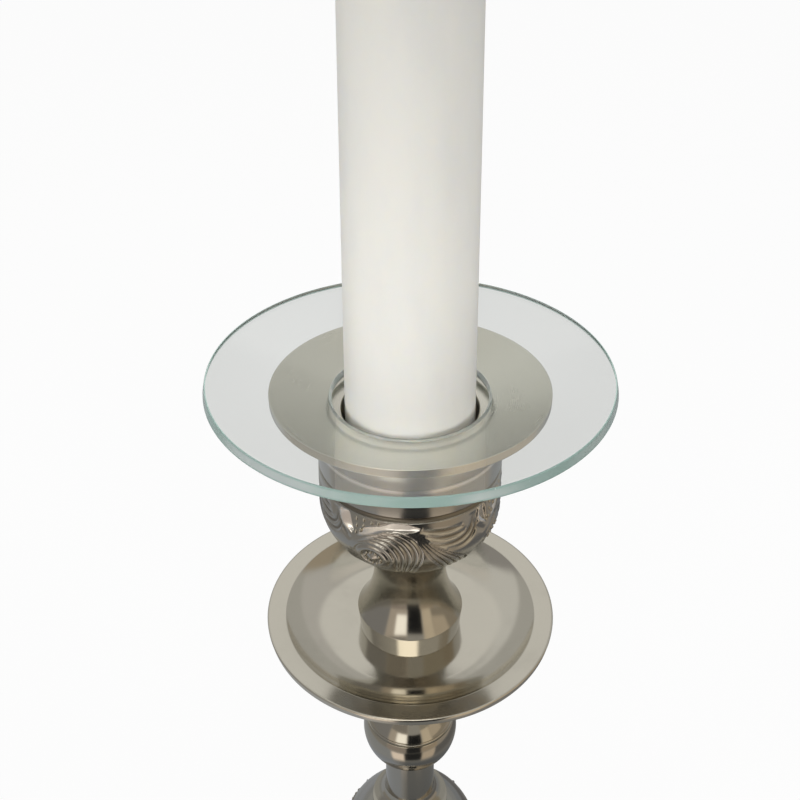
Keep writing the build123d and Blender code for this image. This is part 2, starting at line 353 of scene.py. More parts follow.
@dataclass(frozen=True)
class Finish:
    """What the finishes share: a material with one Principled shader."""

    name: str

    def sockets(self, graph: Graph) -> dict[str, Any]:
        """Values and wires of the shader's sockets, which each finish gives."""
        raise NotImplementedError

    def build(self) -> Material:
        """Build the material.

        Returns:
            The new material.
        """
        material, graph = new_material(self.name)
        graph.surface(graph.node("ShaderNodeBsdfPrincipled", **self.sockets(graph)))
        return material


@dataclass(frozen=True)
class NickelFinish(Finish):
    """Warm nickel plate with turning rings, cloudy wear, tarnish and painted shade in the hollows, and a
    painted highlight on rubbed faces.
    """

    tone: Colour = (0.50, 0.478, 0.425)
    stained: float = 0.82
    # Colour of the hollows: tarnish together with painted shade
    tarnish_and_shade: Colour = (0.20, 0.175, 0.135)
    # Near-white colour of the rubbed faces: wear plus a painted highlight
    wear_and_highlight: Colour = (0.96, 0.95, 0.93)
    roughness: float = 0.12
    least_roughness: float = 0.04
    cloud: float = 0.10
    ring_depth: float = 0.004
    ring_pitch: float = 0.35
    clouds: Grain = Grain(38.0, 4.0, 0.62)
    smears: Grain = Grain(210.0, 3.0, 0.55)
    smear_draw: float = 0.35
    chasing: Grain = Grain(900.0, 3.0, 0.6)
    chasing_depth: float = 9.0
    cloud_stain: float = 0.35
    smear_stain: float = 0.15
    hollow_tarnish_and_shade: float = 0.8
    worked_rough: float = 0.06
    hollow_rough: float = 0.15
    worn_rough: float = 0.08
    brushed_rough: float = 0.16
    relief: bool = False

    def sockets(self, graph: Graph) -> dict[str, Any]:
        """Metal whose colour, roughness and normal vary over the surface.

        Args:
            graph: graph of the material.

        Returns:
            Values and wires by socket name.
        """
        coordinate = graph.coordinate()
        x, y, z = graph.split(coordinate)
        turning = Grain(1.0 / (self.ring_pitch * MM), 2.0, 0.6)
        rings = graph.noise(graph.vector(graph.radius(x, y), z, 0.0), turning)
        clouds = graph.noise(coordinate, self.clouds)
        smears = graph.noise(graph.vector(x, y, z * self.smear_draw), self.smears)
        stain = graph.fade(clouds, 0.52, 0.78) * self.cloud_stain
        stain = stain + graph.fade(smears, 0.60, 0.85) * self.smear_stain
        colour = graph.mix(stain, rgba(self.tone), rgba(self.tone, self.stained))
        rough = self.roughness + (clouds - 0.5) * self.cloud + (rings - 0.5) * (0.5 * self.cloud)
        if self.relief:
            level = graph.attribute("relief", "Fac")
            hollow = 1.0 - graph.fade(level, 0.05, 0.5)
            worked = 1.0 - graph.fade(level, 0.82, 0.96)
            shine = graph.fade(level, 0.9, 1.9) * (1.0 - graph.fade(level, 2.2, 2.6))
            brushed = graph.fade(level, 2.2, 2.8)
            # Hollows get the dark colour: real tarnish plus painted shade in the cuts
            colour = graph.mix(hollow * self.hollow_tarnish_and_shade, colour, rgba(self.tarnish_and_shade))
            # Rubbed faces get the near-white colour: wear plus a painted highlight
            colour = graph.mix(shine, colour, rgba(self.wear_and_highlight))
            rough = rough + worked * self.worked_rough + hollow * self.hollow_rough
            rough = rough + shine * self.worn_rough + brushed * self.brushed_rough
            rings = rings + graph.noise(coordinate, self.chasing) * worked * self.chasing_depth
        return {
            "Base_Color": colour,
            "Metallic": 1.0,
            "Roughness": graph.math("MAXIMUM", rough, self.least_roughness),
            "Normal": graph.bump(rings, 0.5, self.ring_depth),
        }


@dataclass(frozen=True)
class SteelFinish(Finish):
    """Zinc-grey steel of the hidden rod and fasteners."""

    name: str = "zinc_steel"
    tone: Colour = (0.42, 0.42, 0.43)
    shade: float = 0.7
    grain: Grain = Grain(900.0, 3.0, 0.6)
    spangle: Grain = Grain(160.0, 2.0, 0.5)

    def sockets(self, graph: Graph) -> dict[str, Any]:
        """Grained metal with darker spangles.

        Args:
            graph: graph of the material.

        Returns:
            Values and wires by socket name.
        """
        coordinate = graph.coordinate()
        grain = graph.noise(coordinate, self.grain)
        spangle = graph.noise(coordinate, self.spangle)
        return {
            "Base_Color": graph.mix(spangle, rgba(self.tone), rgba(self.tone, self.shade)),
            "Metallic": 1.0,
            "Roughness": 0.28 + grain * 0.2,
            "Normal": graph.bump(grain, 0.3, 0.02),
        }


@dataclass(frozen=True)
class GlassFinish(Finish):
    """Clear float glass of the plate's two faces."""

    name: str = "plate_glass"
    tint: Colour = (0.93, 0.945, 0.935)
    ior: float = 1.5
    dust: Grain = Grain(260.0, 4.0, 0.7)

    def sockets(self, graph: Graph) -> dict[str, Any]:
        """Clear glass with a little dust.

        Args:
            graph: graph of the material.

        Returns:
            Values and wires by socket name.
        """
        dust = graph.fade(graph.noise(graph.coordinate(), self.dust), 0.66, 0.85)
        return {
            "Base_Color": rgba(self.tint),
            "Roughness": 0.004 + dust * 0.03,
            "IOR": self.ior,
            "Transmission_Weight": 1.0,
        }


@dataclass(frozen=True)
class GroundEdgeFinish(Finish):
    """Ground edge of the plate, where the glass shows its green body."""

    name: str = "ground_glass_edge"
    tint: Colour = (0.44, 0.63, 0.57)
    pale: Colour = (0.78, 0.86, 0.84)
    ior: float = 1.5
    middle: float = 435.5
    half: float = 1.9
    inside: float = 60.0
    streaks: Grain = Grain(24.0, 2.0, 0.5)
    chips: Grain = Grain(900.0, 2.0, 0.6)
    chips_and_glints: Grain = Grain(320.0, 2.0, 0.6)

    def sockets(self, graph: Graph) -> dict[str, Any]:
        """Frosted glass: streaked green outside, pale in the hole, with white chips there that are painted
        glints.

        Args:
            graph: graph of the material.

        Returns:
            Values and wires by socket name.
        """
        coordinate = graph.coordinate()
        x, y, z = graph.split(coordinate)
        streaks = graph.noise(coordinate, self.streaks)
        chips = graph.noise(coordinate, self.chips)
        chips_and_glints = graph.fade(graph.noise(coordinate, self.chips_and_glints), 0.54, 0.60)
        half = self.half * MM
        border = graph.fade(graph.math("ABSOLUTE", z - self.middle * MM), 0.45 * half, half)
        outer = graph.fade(graph.radius(x, y), self.inside * MM, (self.inside + 5.0) * MM)
        colour = graph.mix(graph.fade(streaks, 0.30, 0.70), rgba(self.tint), rgba(self.pale))
        colour = graph.mix(border * outer, colour, rgba(self.tint))
        colour = graph.mix(1.0 - outer, colour, rgba(self.pale))
        return {
            # White spots in the hole: chips whose white is a painted glint
            "Base_Color": graph.mix(chips_and_glints * (1.0 - outer), colour, WHITE),
            "Roughness": 0.16 + chips * 0.15,
            "IOR": self.ior,
            "Transmission_Weight": 0.55,
            "Normal": graph.bump(chips, 0.35, 0.05),
        }


@dataclass(frozen=True)
class WaxFinish(Finish):
    """Smooth ivory wax, faintly cloudy and translucent."""

    name: str = "candle_wax"
    tone: Colour = (0.80, 0.785, 0.735)
    cool: Colour = (0.765, 0.755, 0.715)
    glow: Colour = (0.9, 0.75, 0.5)
    clouds: Grain = Grain(55.0, 4.0, 0.55)
    skin: Grain = Grain(700.0, 3.0, 0.55)
    draw: Grain = Grain(60.0, 2.0, 0.5)

    def sockets(self, graph: Graph) -> dict[str, Any]:
        """Wax with clouds, a fine skin and faint marks along the mould.

        Args:
            graph: graph of the material.

        Returns:
            Values and wires by socket name.
        """
        coordinate = graph.coordinate()
        x, y, z = graph.split(coordinate)
        clouds = graph.noise(graph.vector(x, y, z * 0.4), self.clouds)
        skin = graph.noise(coordinate, self.skin)
        draw = graph.noise(graph.vector(x * 9.0, y * 9.0, z * 0.5), self.draw)
        return {
            "Base_Color": graph.mix(graph.fade(clouds, 0.35, 0.75), rgba(self.tone), rgba(self.cool)),
            "Roughness": 0.36 + clouds * 0.16,
            "IOR": 1.44,
            "Subsurface_Weight": 0.35,
            "Subsurface_Radius": self.glow,
            "Subsurface_Scale": 4.0 * MM,
            "Normal": graph.bump(skin * 0.4 + draw, 0.25, 0.12),
        }


@dataclass(frozen=True)
class CottonFinish(Finish):
    """Waxed cotton of the wick."""

    name: str = "waxed_cotton"
    tone: Colour = (0.72, 0.66, 0.52)
    shade: Colour = (0.52, 0.46, 0.34)
    fibre: Grain = Grain(4200.0, 3.0, 0.6)

    def sockets(self, graph: Graph) -> dict[str, Any]:
        """Dull fibres drawn out along the wick.

        Args:
            graph: graph of the material.

        Returns:
            Values and wires by socket name.
        """
        x, y, z = graph.split(graph.coordinate())
        fibre = graph.noise(graph.vector(x, y, z * 0.25), self.fibre)
        return {
            "Base_Color": graph.mix(fibre, rgba(self.shade), rgba(self.tone)),
            "Roughness": 0.62 + fibre * 0.2,
            "Normal": graph.bump(fibre, 0.6, 0.1),
        }


@dataclass(frozen=True)
class FeltFinish(Finish):
    """Dark pressed felt under the foot."""

    name: str = "pressed_felt"
    tone: Colour = (0.035, 0.045, 0.038)
    lint: Colour = (0.10, 0.115, 0.10)
    fibre: Grain = Grain(1500.0, 5.0, 0.75)
    tufts: Grain = Grain(240.0, 3.0, 0.6)

    def sockets(self, graph: Graph) -> dict[str, Any]:
        """Matted fibres and tufts.

        Args:
            graph: graph of the material.

        Returns:
            Values and wires by socket name.
        """
        coordinate = graph.coordinate()
        fibre = graph.noise(coordinate, self.fibre)
        tufts = graph.noise(coordinate, self.tufts)
        pale = graph.fade(fibre * 0.7 + tufts * 0.3, 0.4, 0.7)
        return {
            "Base_Color": graph.mix(pale, rgba(self.tone), rgba(self.lint)),
            "Roughness": 0.95,
            "Sheen_Weight": 0.25,
            "Normal": graph.bump(fibre + tufts, 0.8, 0.4),
        }


class Outline:
    """Half section of a turned piece: runs and arcs in radius and height, with rounded corners."""

    ROUND_STEPS = 4
    CREASE = 0.12
    CREASE_STEPS = 1
    SHARP = math.radians(25)
    LARGEST_SHARE = 0.45
    SHORTEST = 1e-6

    def __init__(self, radius: float, height: float, rounding: float = 0.0) -> None:
        """Start at a point, in millimetres."""
        self.points: list[Point] = [(radius, height)]
        self.rounds: list[float] = [rounding]

    def to(self, radius: float, height: float, rounding: float = 0.0) -> Outline:
        """Run straight to a point whose corner may be rounded.

        Args:
            radius: radius of the point.
            height: height of the point.
            rounding: rounding of its corner.

        Returns:
            The outline itself.
        """
        self.points.append((radius, height))
        self.rounds.append(rounding)
        return self

    def bow(self, radius: float, height: float, bulge: float, steps: int, rounding: float = 0.0) -> Outline:
        """Run along an arc.

        Args:
            radius: radius of the end.
            height: height of the end.
            bulge: how far the arc stands to the right of its chord.
            steps: chords that stand for the arc.
            rounding: rounding of the corner at the end.

        Returns:
            The outline itself.
        """
        start = np.array(self.points[-1])
        end = np.array((radius, height))
        chord = end - start
        length = float(np.hypot(*chord))
        side = np.array((chord[1], -chord[0])) / length
        arc_radius = (length**2 / 4 + bulge**2) / (2 * abs(bulge))
        centre = (start + end) / 2 + side * (bulge - math.copysign(arc_radius, bulge))
        first, last = (math.atan2(*(point - centre)[::-1]) for point in (start, end))
        swing = (last - first + math.pi) % (2 * math.pi) - math.pi
        for step in range(1, steps):
            angle = first + swing * step / steps
            self.to(centre[0] + arc_radius * math.cos(angle), centre[1] + arc_radius * math.sin(angle))
        return self.to(radius, height, rounding)

    def sweep(
        self, radius: float, height: float, steps: int = 28, outward: bool = False, rounding: float = 0.0
    ) -> Outline:
        """Run along an arc that is upright at its narrower end, or at its end where it swells outward.

        Args:
            radius: radius of the end.
            height: height of the end.
            steps: chords that stand for the arc.
            outward: swell outward, as a bowl does, rather than inward.
            rounding: rounding of the corner at the end.

        Returns:
            The outline itself.
        """
        start = self.points[-1]
        run, rise = abs(radius - start[0]), height - start[1]
        arc_radius = (run**2 + rise**2) / (2 * run)
        bulge = arc_radius - math.sqrt(arc_radius**2 - (run**2 + rise**2) / 4)
        return self.bow(radius, height, bulge if outward else -bulge, steps, rounding)

    def ball(self, radius: float, centre: float, low: float, high: float, steps: int) -> Outline:
        """Run up the side of a ball.

        Args:
            radius: radius of the ball.
            centre: height of its centre.
            low: start above the centre.
            high: end above the centre.
            steps: chords that stand for the side.

        Returns:
            The outline itself.
        """
        first, last = math.asin(low / radius), math.asin(high / radius)
        for step in range(1, steps + 1):
            angle = first + (last - first) * step / steps
            self.to(radius * math.cos(angle), centre + radius * math.sin(angle))
        return self

    def rounded(self) -> np.ndarray:
        """Points of the closed outline with its corners rounded.

        Returns:
            Radius and height of each point.
        """
        points = np.array(self.points)
        made: list[np.ndarray] = []
        for index, here in enumerate(points):
            back = points[index - 1] - here
            ahead = points[(index + 1) % len(points)] - here
            back_length, ahead_length = np.hypot(*back), np.hypot(*ahead)
            if min(back_length, ahead_length) < self.SHORTEST:
                continue
            corner = math.acos(float(np.clip(back @ ahead / (back_length * ahead_length), -1, 1)))
            rounding, steps = self.rounds[index], self.ROUND_STEPS
            if rounding <= 0 and math.pi - corner > self.SHARP:
                rounding, steps = self.CREASE, self.CREASE_STEPS
            if rounding <= 0 or here[0] < Lathe.AXIS_GAP:
                made.append(here)
                continue
            longest = self.LARGEST_SHARE * min(back_length, ahead_length)
            reach = min(rounding / math.tan(corner / 2), longest)
            first = here + back / back_length * reach
            last = here + ahead / ahead_length * reach
            for step in range(steps + 1):
                share = step / steps
                made.append((1 - share) ** 2 * first + 2 * share * (1 - share) * here + share**2 * last)
        return np.array(made)


class Lathe:
    """Turns closed outlines into smooth meshes about the Z axis."""

    AXIS_GAP = 1e-4
    SHORTEST = 1e-9

    def __init__(self, segments: int) -> None:
        """Set how many steps go round."""
        self.segments = segments
        self.turns = np.arange(segments) * (2 * math.pi / segments)

    def around(self, rings: np.ndarray, lift: np.ndarray | None) -> np.ndarray:
        """Grid of points, rings by turns, with turn 0 facing -Y.

        Args:
            rings: radius and height of each ring, in millimetres.
            lift: optional offsets of radius and height, rings by turns by 2.

        Returns:
            Points in metres, rings by turns by 3.
        """
        grid = np.repeat(rings[:, None, :], self.segments, axis=1)
        if lift is not None:
            grid = grid + lift
        return about_axis(grid[..., 0], self.turns, grid[..., 1]) * MM

    def normals(self, rings: np.ndarray) -> np.ndarray:
        """Outward normals of an outline, each run weighted by its length.

        Args:
            rings: radius and height of each ring.

        Returns:
            Unit normals in radius and height.
        """
        ahead = np.roll(rings, -1, axis=0) - rings
        side = np.stack((ahead[:, 1], -ahead[:, 0]), axis=1)
        both = side + np.roll(side, 1, axis=0)
        return both / np.maximum(np.linalg.norm(both, axis=1, keepdims=True), self.SHORTEST)

    def solid(
        self,
        name: str,
        rings: np.ndarray,
        materials: Sequence[Material],
        lift: np.ndarray | None = None,
        bands: Callable[[float, float], int] | None = None,
    ) -> bpy.types.Object:
        """Mesh of a closed outline.

        Args:
            name: name of the object.
            rings: closed outline that runs up the outside and down the inside.
            materials: material slots.
            lift: offsets of a carved surface, rings by turns by 2.
            bands: material index from the radius and height of a face's middle.

        Returns:
            The new object at the origin.
        """
        grid = self.around(rings, lift)
        count, turns = grid.shape[:2]
        poles = rings[:, 0] < self.AXIS_GAP
        index = np.zeros((count, turns), dtype=int)
        points: list[np.ndarray] = []
        for ring in range(count):
            index[ring] = len(points)
            if poles[ring]:
                points.append(grid[ring, 0])
            else:
                index[ring] += np.arange(turns)
                points.extend(grid[ring])
        faces: list[tuple[int, ...]] = []
        slots: list[int] = []
        for ring in range(count):
            after = (ring + 1) % count
            if poles[ring] and poles[after]:
                continue
            middle = (rings[ring] + rings[after]) / 2
            slot = bands(*middle) if bands else 0
            for turn in range(turns):
                side = (turn + 1) % turns
                corners = (index[ring, turn], index[ring, side], index[after, side], index[after, turn])
                faces.append(tuple(dict.fromkeys(int(corner) for corner in corners)))
                slots.append(slot)
        mesh = new_mesh(name, points, faces=faces)
        for material in materials:
            mesh.materials.append(material)
        mesh.polygons.foreach_set("material_index", slots)
        mesh.shade_smooth()
        if lift is None:
            self.set_normals(mesh, rings, poles)
        mesh.update()
        return add_object(name, mesh)

    def set_normals(self, mesh: bpy.types.Mesh, rings: np.ndarray, poles: np.ndarray) -> None:
        """Give a turned mesh the exact normals of its outline.

        Args:
            mesh: the turned mesh.
            rings: radius and height of each ring.
            poles: which rings are one point on the axis.
        """
        made: list[Sequence[float]] = []
        for pole, (out, up) in zip(poles, self.normals(rings)):
            if pole:
                made.append((0.0, 0.0, math.copysign(1.0, up)))
            else:
                made.extend(about_axis(out, self.turns, up).tolist())
        mesh.normals_split_custom_set_from_vertices(made)


@dataclass
class Assembly:
    """What the sub-assemblies share: the lathe, and how a piece joins the model."""

    lathe: Lathe

    @staticmethod
    def underside(node: str) -> float:
        """Height of a node's underside, in millimetres."""
        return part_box(node)[0][2] / MM

    @staticmethod
    def height(node: str) -> float:
        """Height of a node's box, in millimetres."""
        low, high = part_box(node)
        return (high[2] - low[2]) / MM

    @staticmethod
    def join(piece: bpy.types.Object, body: Body, slot: Slot, *nodes: str) -> None:
        """Ride a piece on its body and say which nodes it stands for.

        Args:
            piece: the finished piece.
            body: body it rides on.
            slot: not used.
            nodes: CAD nodes that it replaces.
        """
        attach(piece, body.value)
        if nodes:
            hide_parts(*nodes)
        LOG.info("%s rides on %s and stands for %s", piece.name, body.value, ", ".join(nodes) or "nothing")

    def place(self, node: str, outline: Outline) -> np.ndarray:
        """Rings of an outline that starts at a node's underside."""
        return outline.rounded() + np.array((0.0, self.underside(node)))

    def turn(self, node: str, outline: Outline, material: Material, slot: Slot = Slot.NICKEL) -> None:
        """Lathe a piece of the stand.

        Args:
            node: CAD node that gives the height and the name.
            outline: half section above the node's underside.
            material: finish of the piece.
            slot: record slot of its finish.
        """
        piece = self.lathe.solid(f"{node}_turned", self.place(node, outline), [material])
        self.join(piece, Body.STAND, slot, node)


@dataclass
class LeafScroll:
    """Traditional scroll of leaves, cut into a height map that repeats round a bowl.

    Distances round are millimetres at the equator, heights are millimetres above the foot.
    """

    repeats: int = 4
    reach: float = 37.0
    rise: float = 42.7
    step: float = 0.12
    depth: float = 1.05
    ribs: int = 4
    rib_sink: float = 0.12
    rib_fullness: float = 0.75
    eye: Point = (-15.6, 21.5)
    eye_radius: float = 8.6
    petals: int = 11
    petal_ring: float = 3.5
    petal_radius: float = 0.8
    bead_radius: float = 1.25
    calyx_leaves: int = 9
    level_rounds: int = 2
    wear_and_highlight_rounds: int = 30
    volute_outer: Sequence[Point] = (
        (-20.5, 29.9), (-15.5, 34.1), (-11.5, 36.1), (-8.0, 37.1), (-3.6, 37.5), (0.9, 34.9), (3.8, 30.7),
        (4.8, 26.5), (4.2, 21.6), (2.4, 15.3), (0.6, 8.8), (-0.6, 3.3),
    )
    volute_inner: Sequence[Point] = (
        (-22.6, 27.5), (-20.6, 29.3), (-17.6, 30.7), (-14.5, 31.1), (-11.2, 30.3), (-8.2, 28.3), (-6.6, 25.3),
        (-6.0, 21.9), (-6.0, 18.1), (-6.2, 13.9), (-6.2, 8.3), (-5.6, 3.3),
    )
    feather_upper: Sequence[Point] = (
        (2.4, 38.9), (7.6, 32.7), (12.8, 28.1), (20.0, 22.2), (25.6, 17.3), (28.0, 11.3),
    )
    feather_lower: Sequence[Point] = (
        (-1.6, 37.9), (2.4, 33.9), (5.4, 29.3), (8.9, 23.3), (14.0, 14.9), (17.5, 7.3),
    )
    veins: Sequence[Sequence[Point]] = (
        ((4.4, 39.5), (8.5, 38.2), (13.3, 37.5), (17.5, 37.3), (21.3, 37.7)),
        ((6.7, 36.7), (10.9, 34.6), (15.2, 33.9), (19.2, 34.0), (22.8, 34.9)),
        ((7.9, 32.9), (12.7, 30.6), (17.6, 30.2), (22.1, 31.3), (24.7, 33.7), (25.5, 37.3), (25.6, 41.3)),
        ((15.0, 28.5), (20.6, 27.6), (24.6, 29.0), (27.0, 32.2), (27.9, 36.3), (27.6, 40.7)),
    )
    facet_left: Sequence[Point] = ((-29.6, 42.3), (-29.8, 37.9), (-28.0, 34.5), (-23.8, 32.3))
    facet_right: Sequence[Point] = ((-25.6, 42.3), (-25.0, 39.9), (-24.4, 36.5), (-23.2, 32.3))
    facet_line: Sequence[Point] = ((-31.4, 41.3), (-31.0, 36.8), (-29.0, 32.8), (-24.8, 28.7))
    facet_corners: Sequence[float] = (1.0, 0.2, -1.4, -1.8)
    field_low: Sequence[Point] = (
        (-21.0, 32.9), (-15.5, 34.9), (-11.5, 36.9), (-8.0, 37.9), (-3.6, 38.4), (0.8, 38.9), (4.0, 39.5),
    )
    field_high: Sequence[Point] = (
        (-19.5, 36.3), (-15.0, 38.5), (-11.0, 39.9), (-7.0, 42.1), (-3.2, 42.4), (0.8, 41.4), (4.2, 40.1),
    )
    field_corners: Sequence[float] = (0.5, 0.0, -0.9, -0.3)
    field_dip: float = 1.3
    # Half width and depth of the gouged lines
    vein_cut: Point = (0.8, 1.0)
    facet_cut: Point = (0.5, 0.95)
    facet_line_cut: Point = (0.7, 0.8)
    eye_cut: Point = (0.55, 0.6)
    calyx_cut: Point = (0.4, 0.7)
    bead_spots: Sequence[Point] = (
        (-21.8, 40.7), (-18.5, 41.2), (-21.8, 37.3), (-18.7, 38.3),
        (-15.2, 40.7), (-12.4, 41.3), (-22.3, 33.8), (-20.2, 35.3),
    )
    levels: np.ndarray = field(init=False)
    wear_and_highlight: np.ndarray = field(init=False)

    def __post_init__(self) -> None:
        """Cut every ornament into the height map."""
        self.levels = np.zeros((int(self.rise / self.step) + 1, int(round(self.width / self.step))))
        self.wear_and_highlight = np.zeros_like(self.levels)
        self.fan(self.volute_inner, self.volute_outer)
        self.fan(self.feather_lower, self.feather_upper)
        self.eye_rings()
        for vein in self.veins:
            self.gouge(vein, *self.vein_cut)
        self.slant(self.field_low, self.field_high, self.field_corners, self.field_dip)
        self.slant(self.facet_left, self.facet_right, self.facet_corners, 0.0)
        self.gouge(self.facet_right, *self.facet_cut)
        self.gouge(self.facet_line, *self.facet_line_cut)
        self.calyx()
        self.levels = self.soften(self.levels, self.level_rounds)
        self.wear_and_highlight = self.soften(self.wear_and_highlight, self.wear_and_highlight_rounds)

    @property
    def width(self) -> float:
        """Width of one repeat at the equator."""
        return 2 * math.pi * self.reach / self.repeats

    @staticmethod
    def curve(points: Sequence[Point], count: int) -> np.ndarray:
        """Smooth curve through points, as count points spaced evenly by knot.

        Args:
            points: knots of the curve.
            count: how many points it gets.

        Returns:
            The points.
        """
        knots = np.array(points, dtype=float)
        padded = np.vstack((2 * knots[0] - knots[1], knots, 2 * knots[-1] - knots[-2]))
        place = np.linspace(0, len(knots) - 1 - 1e-9, count)
        span = place.astype(int)
        share = (place - span)[:, None]
        before, start, end, after = (padded[span + shift] for shift in range(4))
        return 0.5 * (
            2 * start
            + (end - before) * share
            + (2 * before - 5 * start + 4 * end - after) * share**2
            + (3 * start - before - 3 * end + after) * share**3
        )

    def between(
        self, first: Sequence[Point], last: Sequence[Point], lines: int, columns: int
    ) -> tuple[np.ndarray, np.ndarray, np.ndarray]:
        """Grid of places between two curves.

        Args:
            first: curve on one side.
            last: curve on the other side.
            lines: count of places along the curves.
            columns: count of places across them.

        Returns:
            The places, and the shares along and across.
        """
        along, across = np.linspace(0, 1, lines)[:, None], np.linspace(0, 1, columns)[None, :]
        start, end = self.curve(first, lines), self.curve(last, lines)
        place = start[:, None, :] * (1 - across[..., None]) + end[:, None, :] * across[..., None]
        return place, along, across

    def stamp(self, grid: np.ndarray, place: np.ndarray, value: np.ndarray, deepest: bool = False) -> None:
        """Write values into a map.

        Args:
            grid: the map.
            place: distance round and height of each place.
            value: what is written there.
            deepest: keep the lower of the old and new value.
        """
        column, row = (np.rint(place[..., axis].ravel() / self.step).astype(int) for axis in range(2))
        inside = (row >= 0) & (row < grid.shape[0])
        spots = (row[inside], column[inside] % grid.shape[1])
        if deepest:
            np.minimum.at(grid, spots, value.ravel()[inside])
        else:
            grid[spots] = value.ravel()[inside]

    def fan(self, inner: Sequence[Point], outer: Sequence[Point]) -> None:
        """Cut a bundle of round ribs between two curves, which run out at their start.

        Args:
            inner: curve on one side.
            outer: curve on the other side.
        """
        place, along, across = self.between(inner, outer, 700, 40 * self.ribs)
        crest = np.abs(np.sin(math.pi * self.ribs * across)) ** self.rib_fullness
        value = (-self.rib_sink - self.depth * (1 - crest)) * ease(along, 0.0, 0.25)
        self.stamp(self.levels, place, value)

    def gouge(self, points: Sequence[Point], half: float, depth: float) -> None:
        """Cut a line that is steep on one side and runs out on the other.

        Args:
            points: knots of the line.
            half: half its width, before the run-out spreads it.
            depth: depth of the cut.
        """
        lines, bottom, spread, blunt = 600, -0.35, 2.2, 0.15
        path = self.curve(points, lines)
        run = np.gradient(path, axis=0)
        run = run / np.linalg.norm(run, axis=1, keepdims=True)
        side = np.stack((-run[:, 1], run[:, 0]), axis=1)
        across = np.linspace(-1, 1, 60)[None, :]
        place = path[:, None, :] + side[:, None, :] * (across[..., None] * half * spread)
        shape = np.where(across < bottom, (across + 1) / (bottom + 1), (1 - across) / (1 - bottom))
        taper = np.sin(np.linspace(blunt, math.pi - blunt, lines))[:, None] ** 0.5
        self.stamp(self.levels, place, -depth * shape * taper, True)

    def eye_rings(self) -> None:
        """Cut the eye: a sunk round with a raised ring and a boss, and lines that follow its lower side."""
        turn, radius = np.meshgrid(np.linspace(0, 2 * math.pi, 900), np.linspace(0, self.eye_radius, 160))
        sunk, border = -0.55 * (1 - ease(radius, 4.2, 4.9)), 0.5 * ridge(radius, 7.6, 0.55)
        ring, boss = 0.1 * ridge(radius, 6.2, 0.8), 0.75 * ridge(radius, 0.0, 1.7)
        place = np.stack((radius * np.cos(turn), radius * np.sin(turn)), axis=-1) + self.eye
        self.stamp(self.levels, place, sunk - border + ring + boss)
        for extra in (0.0, 2.0, 4.0):
            reach = self.eye_radius + 0.7 + extra
            angles = np.radians(np.linspace(170 + 6 * extra, 285 - 4 * extra, 9))
            line = np.stack((np.cos(angles), np.sin(angles)), axis=1) * reach + self.eye
            self.gouge(line, *self.eye_cut)

    def slant(
        self, first: Sequence[Point], last: Sequence[Point], corners: Sequence[float], dip: float
    ) -> None:
        """Cut a slanted face that is worn, and mark it for a painted highlight.

        Args:
            first: curve on one side of the face.
            last: curve on its other side.
            corners: heights at both ends of the first curve, then of the last.
            dip: how far the middle lies below the ends.
        """
        place, along, across = self.between(first, last, 500, 160)
        near = corners[0] + (corners[1] - corners[0]) * along
        far = corners[2] + (corners[3] - corners[2]) * along
        value = near * (1 - across) + far * across - 4 * dip * along * (1 - along)
        self.stamp(self.levels, place, value)
        self.stamp(self.wear_and_highlight, place, np.ones_like(value))

    def calyx(self) -> None:
        """Cut short leaf tips round the foot of the bowl."""
        pitch = self.width / self.calyx_leaves
        for leaf in range(self.calyx_leaves):
            middle = (leaf + 0.5) * pitch - self.width / 2
            for half in (-0.46 * pitch, 0.46 * pitch):
                tip = [(middle + half, 0.6), (middle + half * 0.9, 3.8), (middle, 7.4)]
                self.gouge(tip, *self.calyx_cut)

    @staticmethod
    def soften(grid: np.ndarray, rounds: int) -> np.ndarray:
        """Blur a map a little, as many times as asked.

        Args:
            grid: the map.
            rounds: how many times it is blurred.

        Returns:
            The blurred map.
        """
        for _ in range(rounds):
            wide = (np.roll(grid, 1, axis=1) + grid + np.roll(grid, -1, axis=1)) / 3
            tall = np.pad(wide, ((1, 1), (0, 0)), mode="edge")
            grid = (tall[:-2] + tall[1:-1] + tall[2:]) / 3
        return grid

    def lift(self, turn: np.ndarray, z: np.ndarray) -> tuple[np.ndarray, np.ndarray]:
        """Read the maps.

        Args:
            turn: turns from the front, in radians.
            z: heights on the bowl.

        Returns:
            Offset along the surface normal in millimetres, and the relief from cut to the worn faces with
            their painted highlight.
        """
        rows, columns = self.levels.shape
        place = (turn * self.reach / self.step) % columns
        row = np.clip(z / self.step, 0, rows - 1.001)
        column, line = place.astype(int), row.astype(int)
        side, up = place - column, row - line
        after, column = (column + 1) % columns, column % columns
        low = self.levels[line, column] * (1 - side) + self.levels[line, after] * side
        high = self.levels[line + 1, column] * (1 - side) + self.levels[line + 1, after] * side
        offset = low * (1 - up) + high * up
        wear_and_highlight = self.wear_and_highlight[line, column]
        relief = Relief.WORKED.value * np.clip(1 + offset / self.depth, 0, 1)
        return offset, relief * (1 - wear_and_highlight) + Relief.WEAR_AND_HIGHLIGHT.value * wear_and_highlight

    def beads(self) -> list[tuple[float, float, float]]:
        """Turn, height and radius of every bead: in the eyes and beside the slanted leaf.

        Returns:
            One row for each bead.
        """
        spots = [(x, z, self.bead_radius) for x, z in self.bead_spots]
        for petal in range(self.petals):
            angle = 2 * math.pi * petal / self.petals
            x = self.eye[0] + self.petal_ring * math.cos(angle)
            spots.append((x, self.eye[1] + self.petal_ring * math.sin(angle), self.petal_radius))
        made: list[tuple[float, float, float]] = []
        for repeat in range(self.repeats):
            middle = repeat * 2 * math.pi / self.repeats
            made += [(middle + x / self.reach, z, size) for x, z, size in spots]
        return made


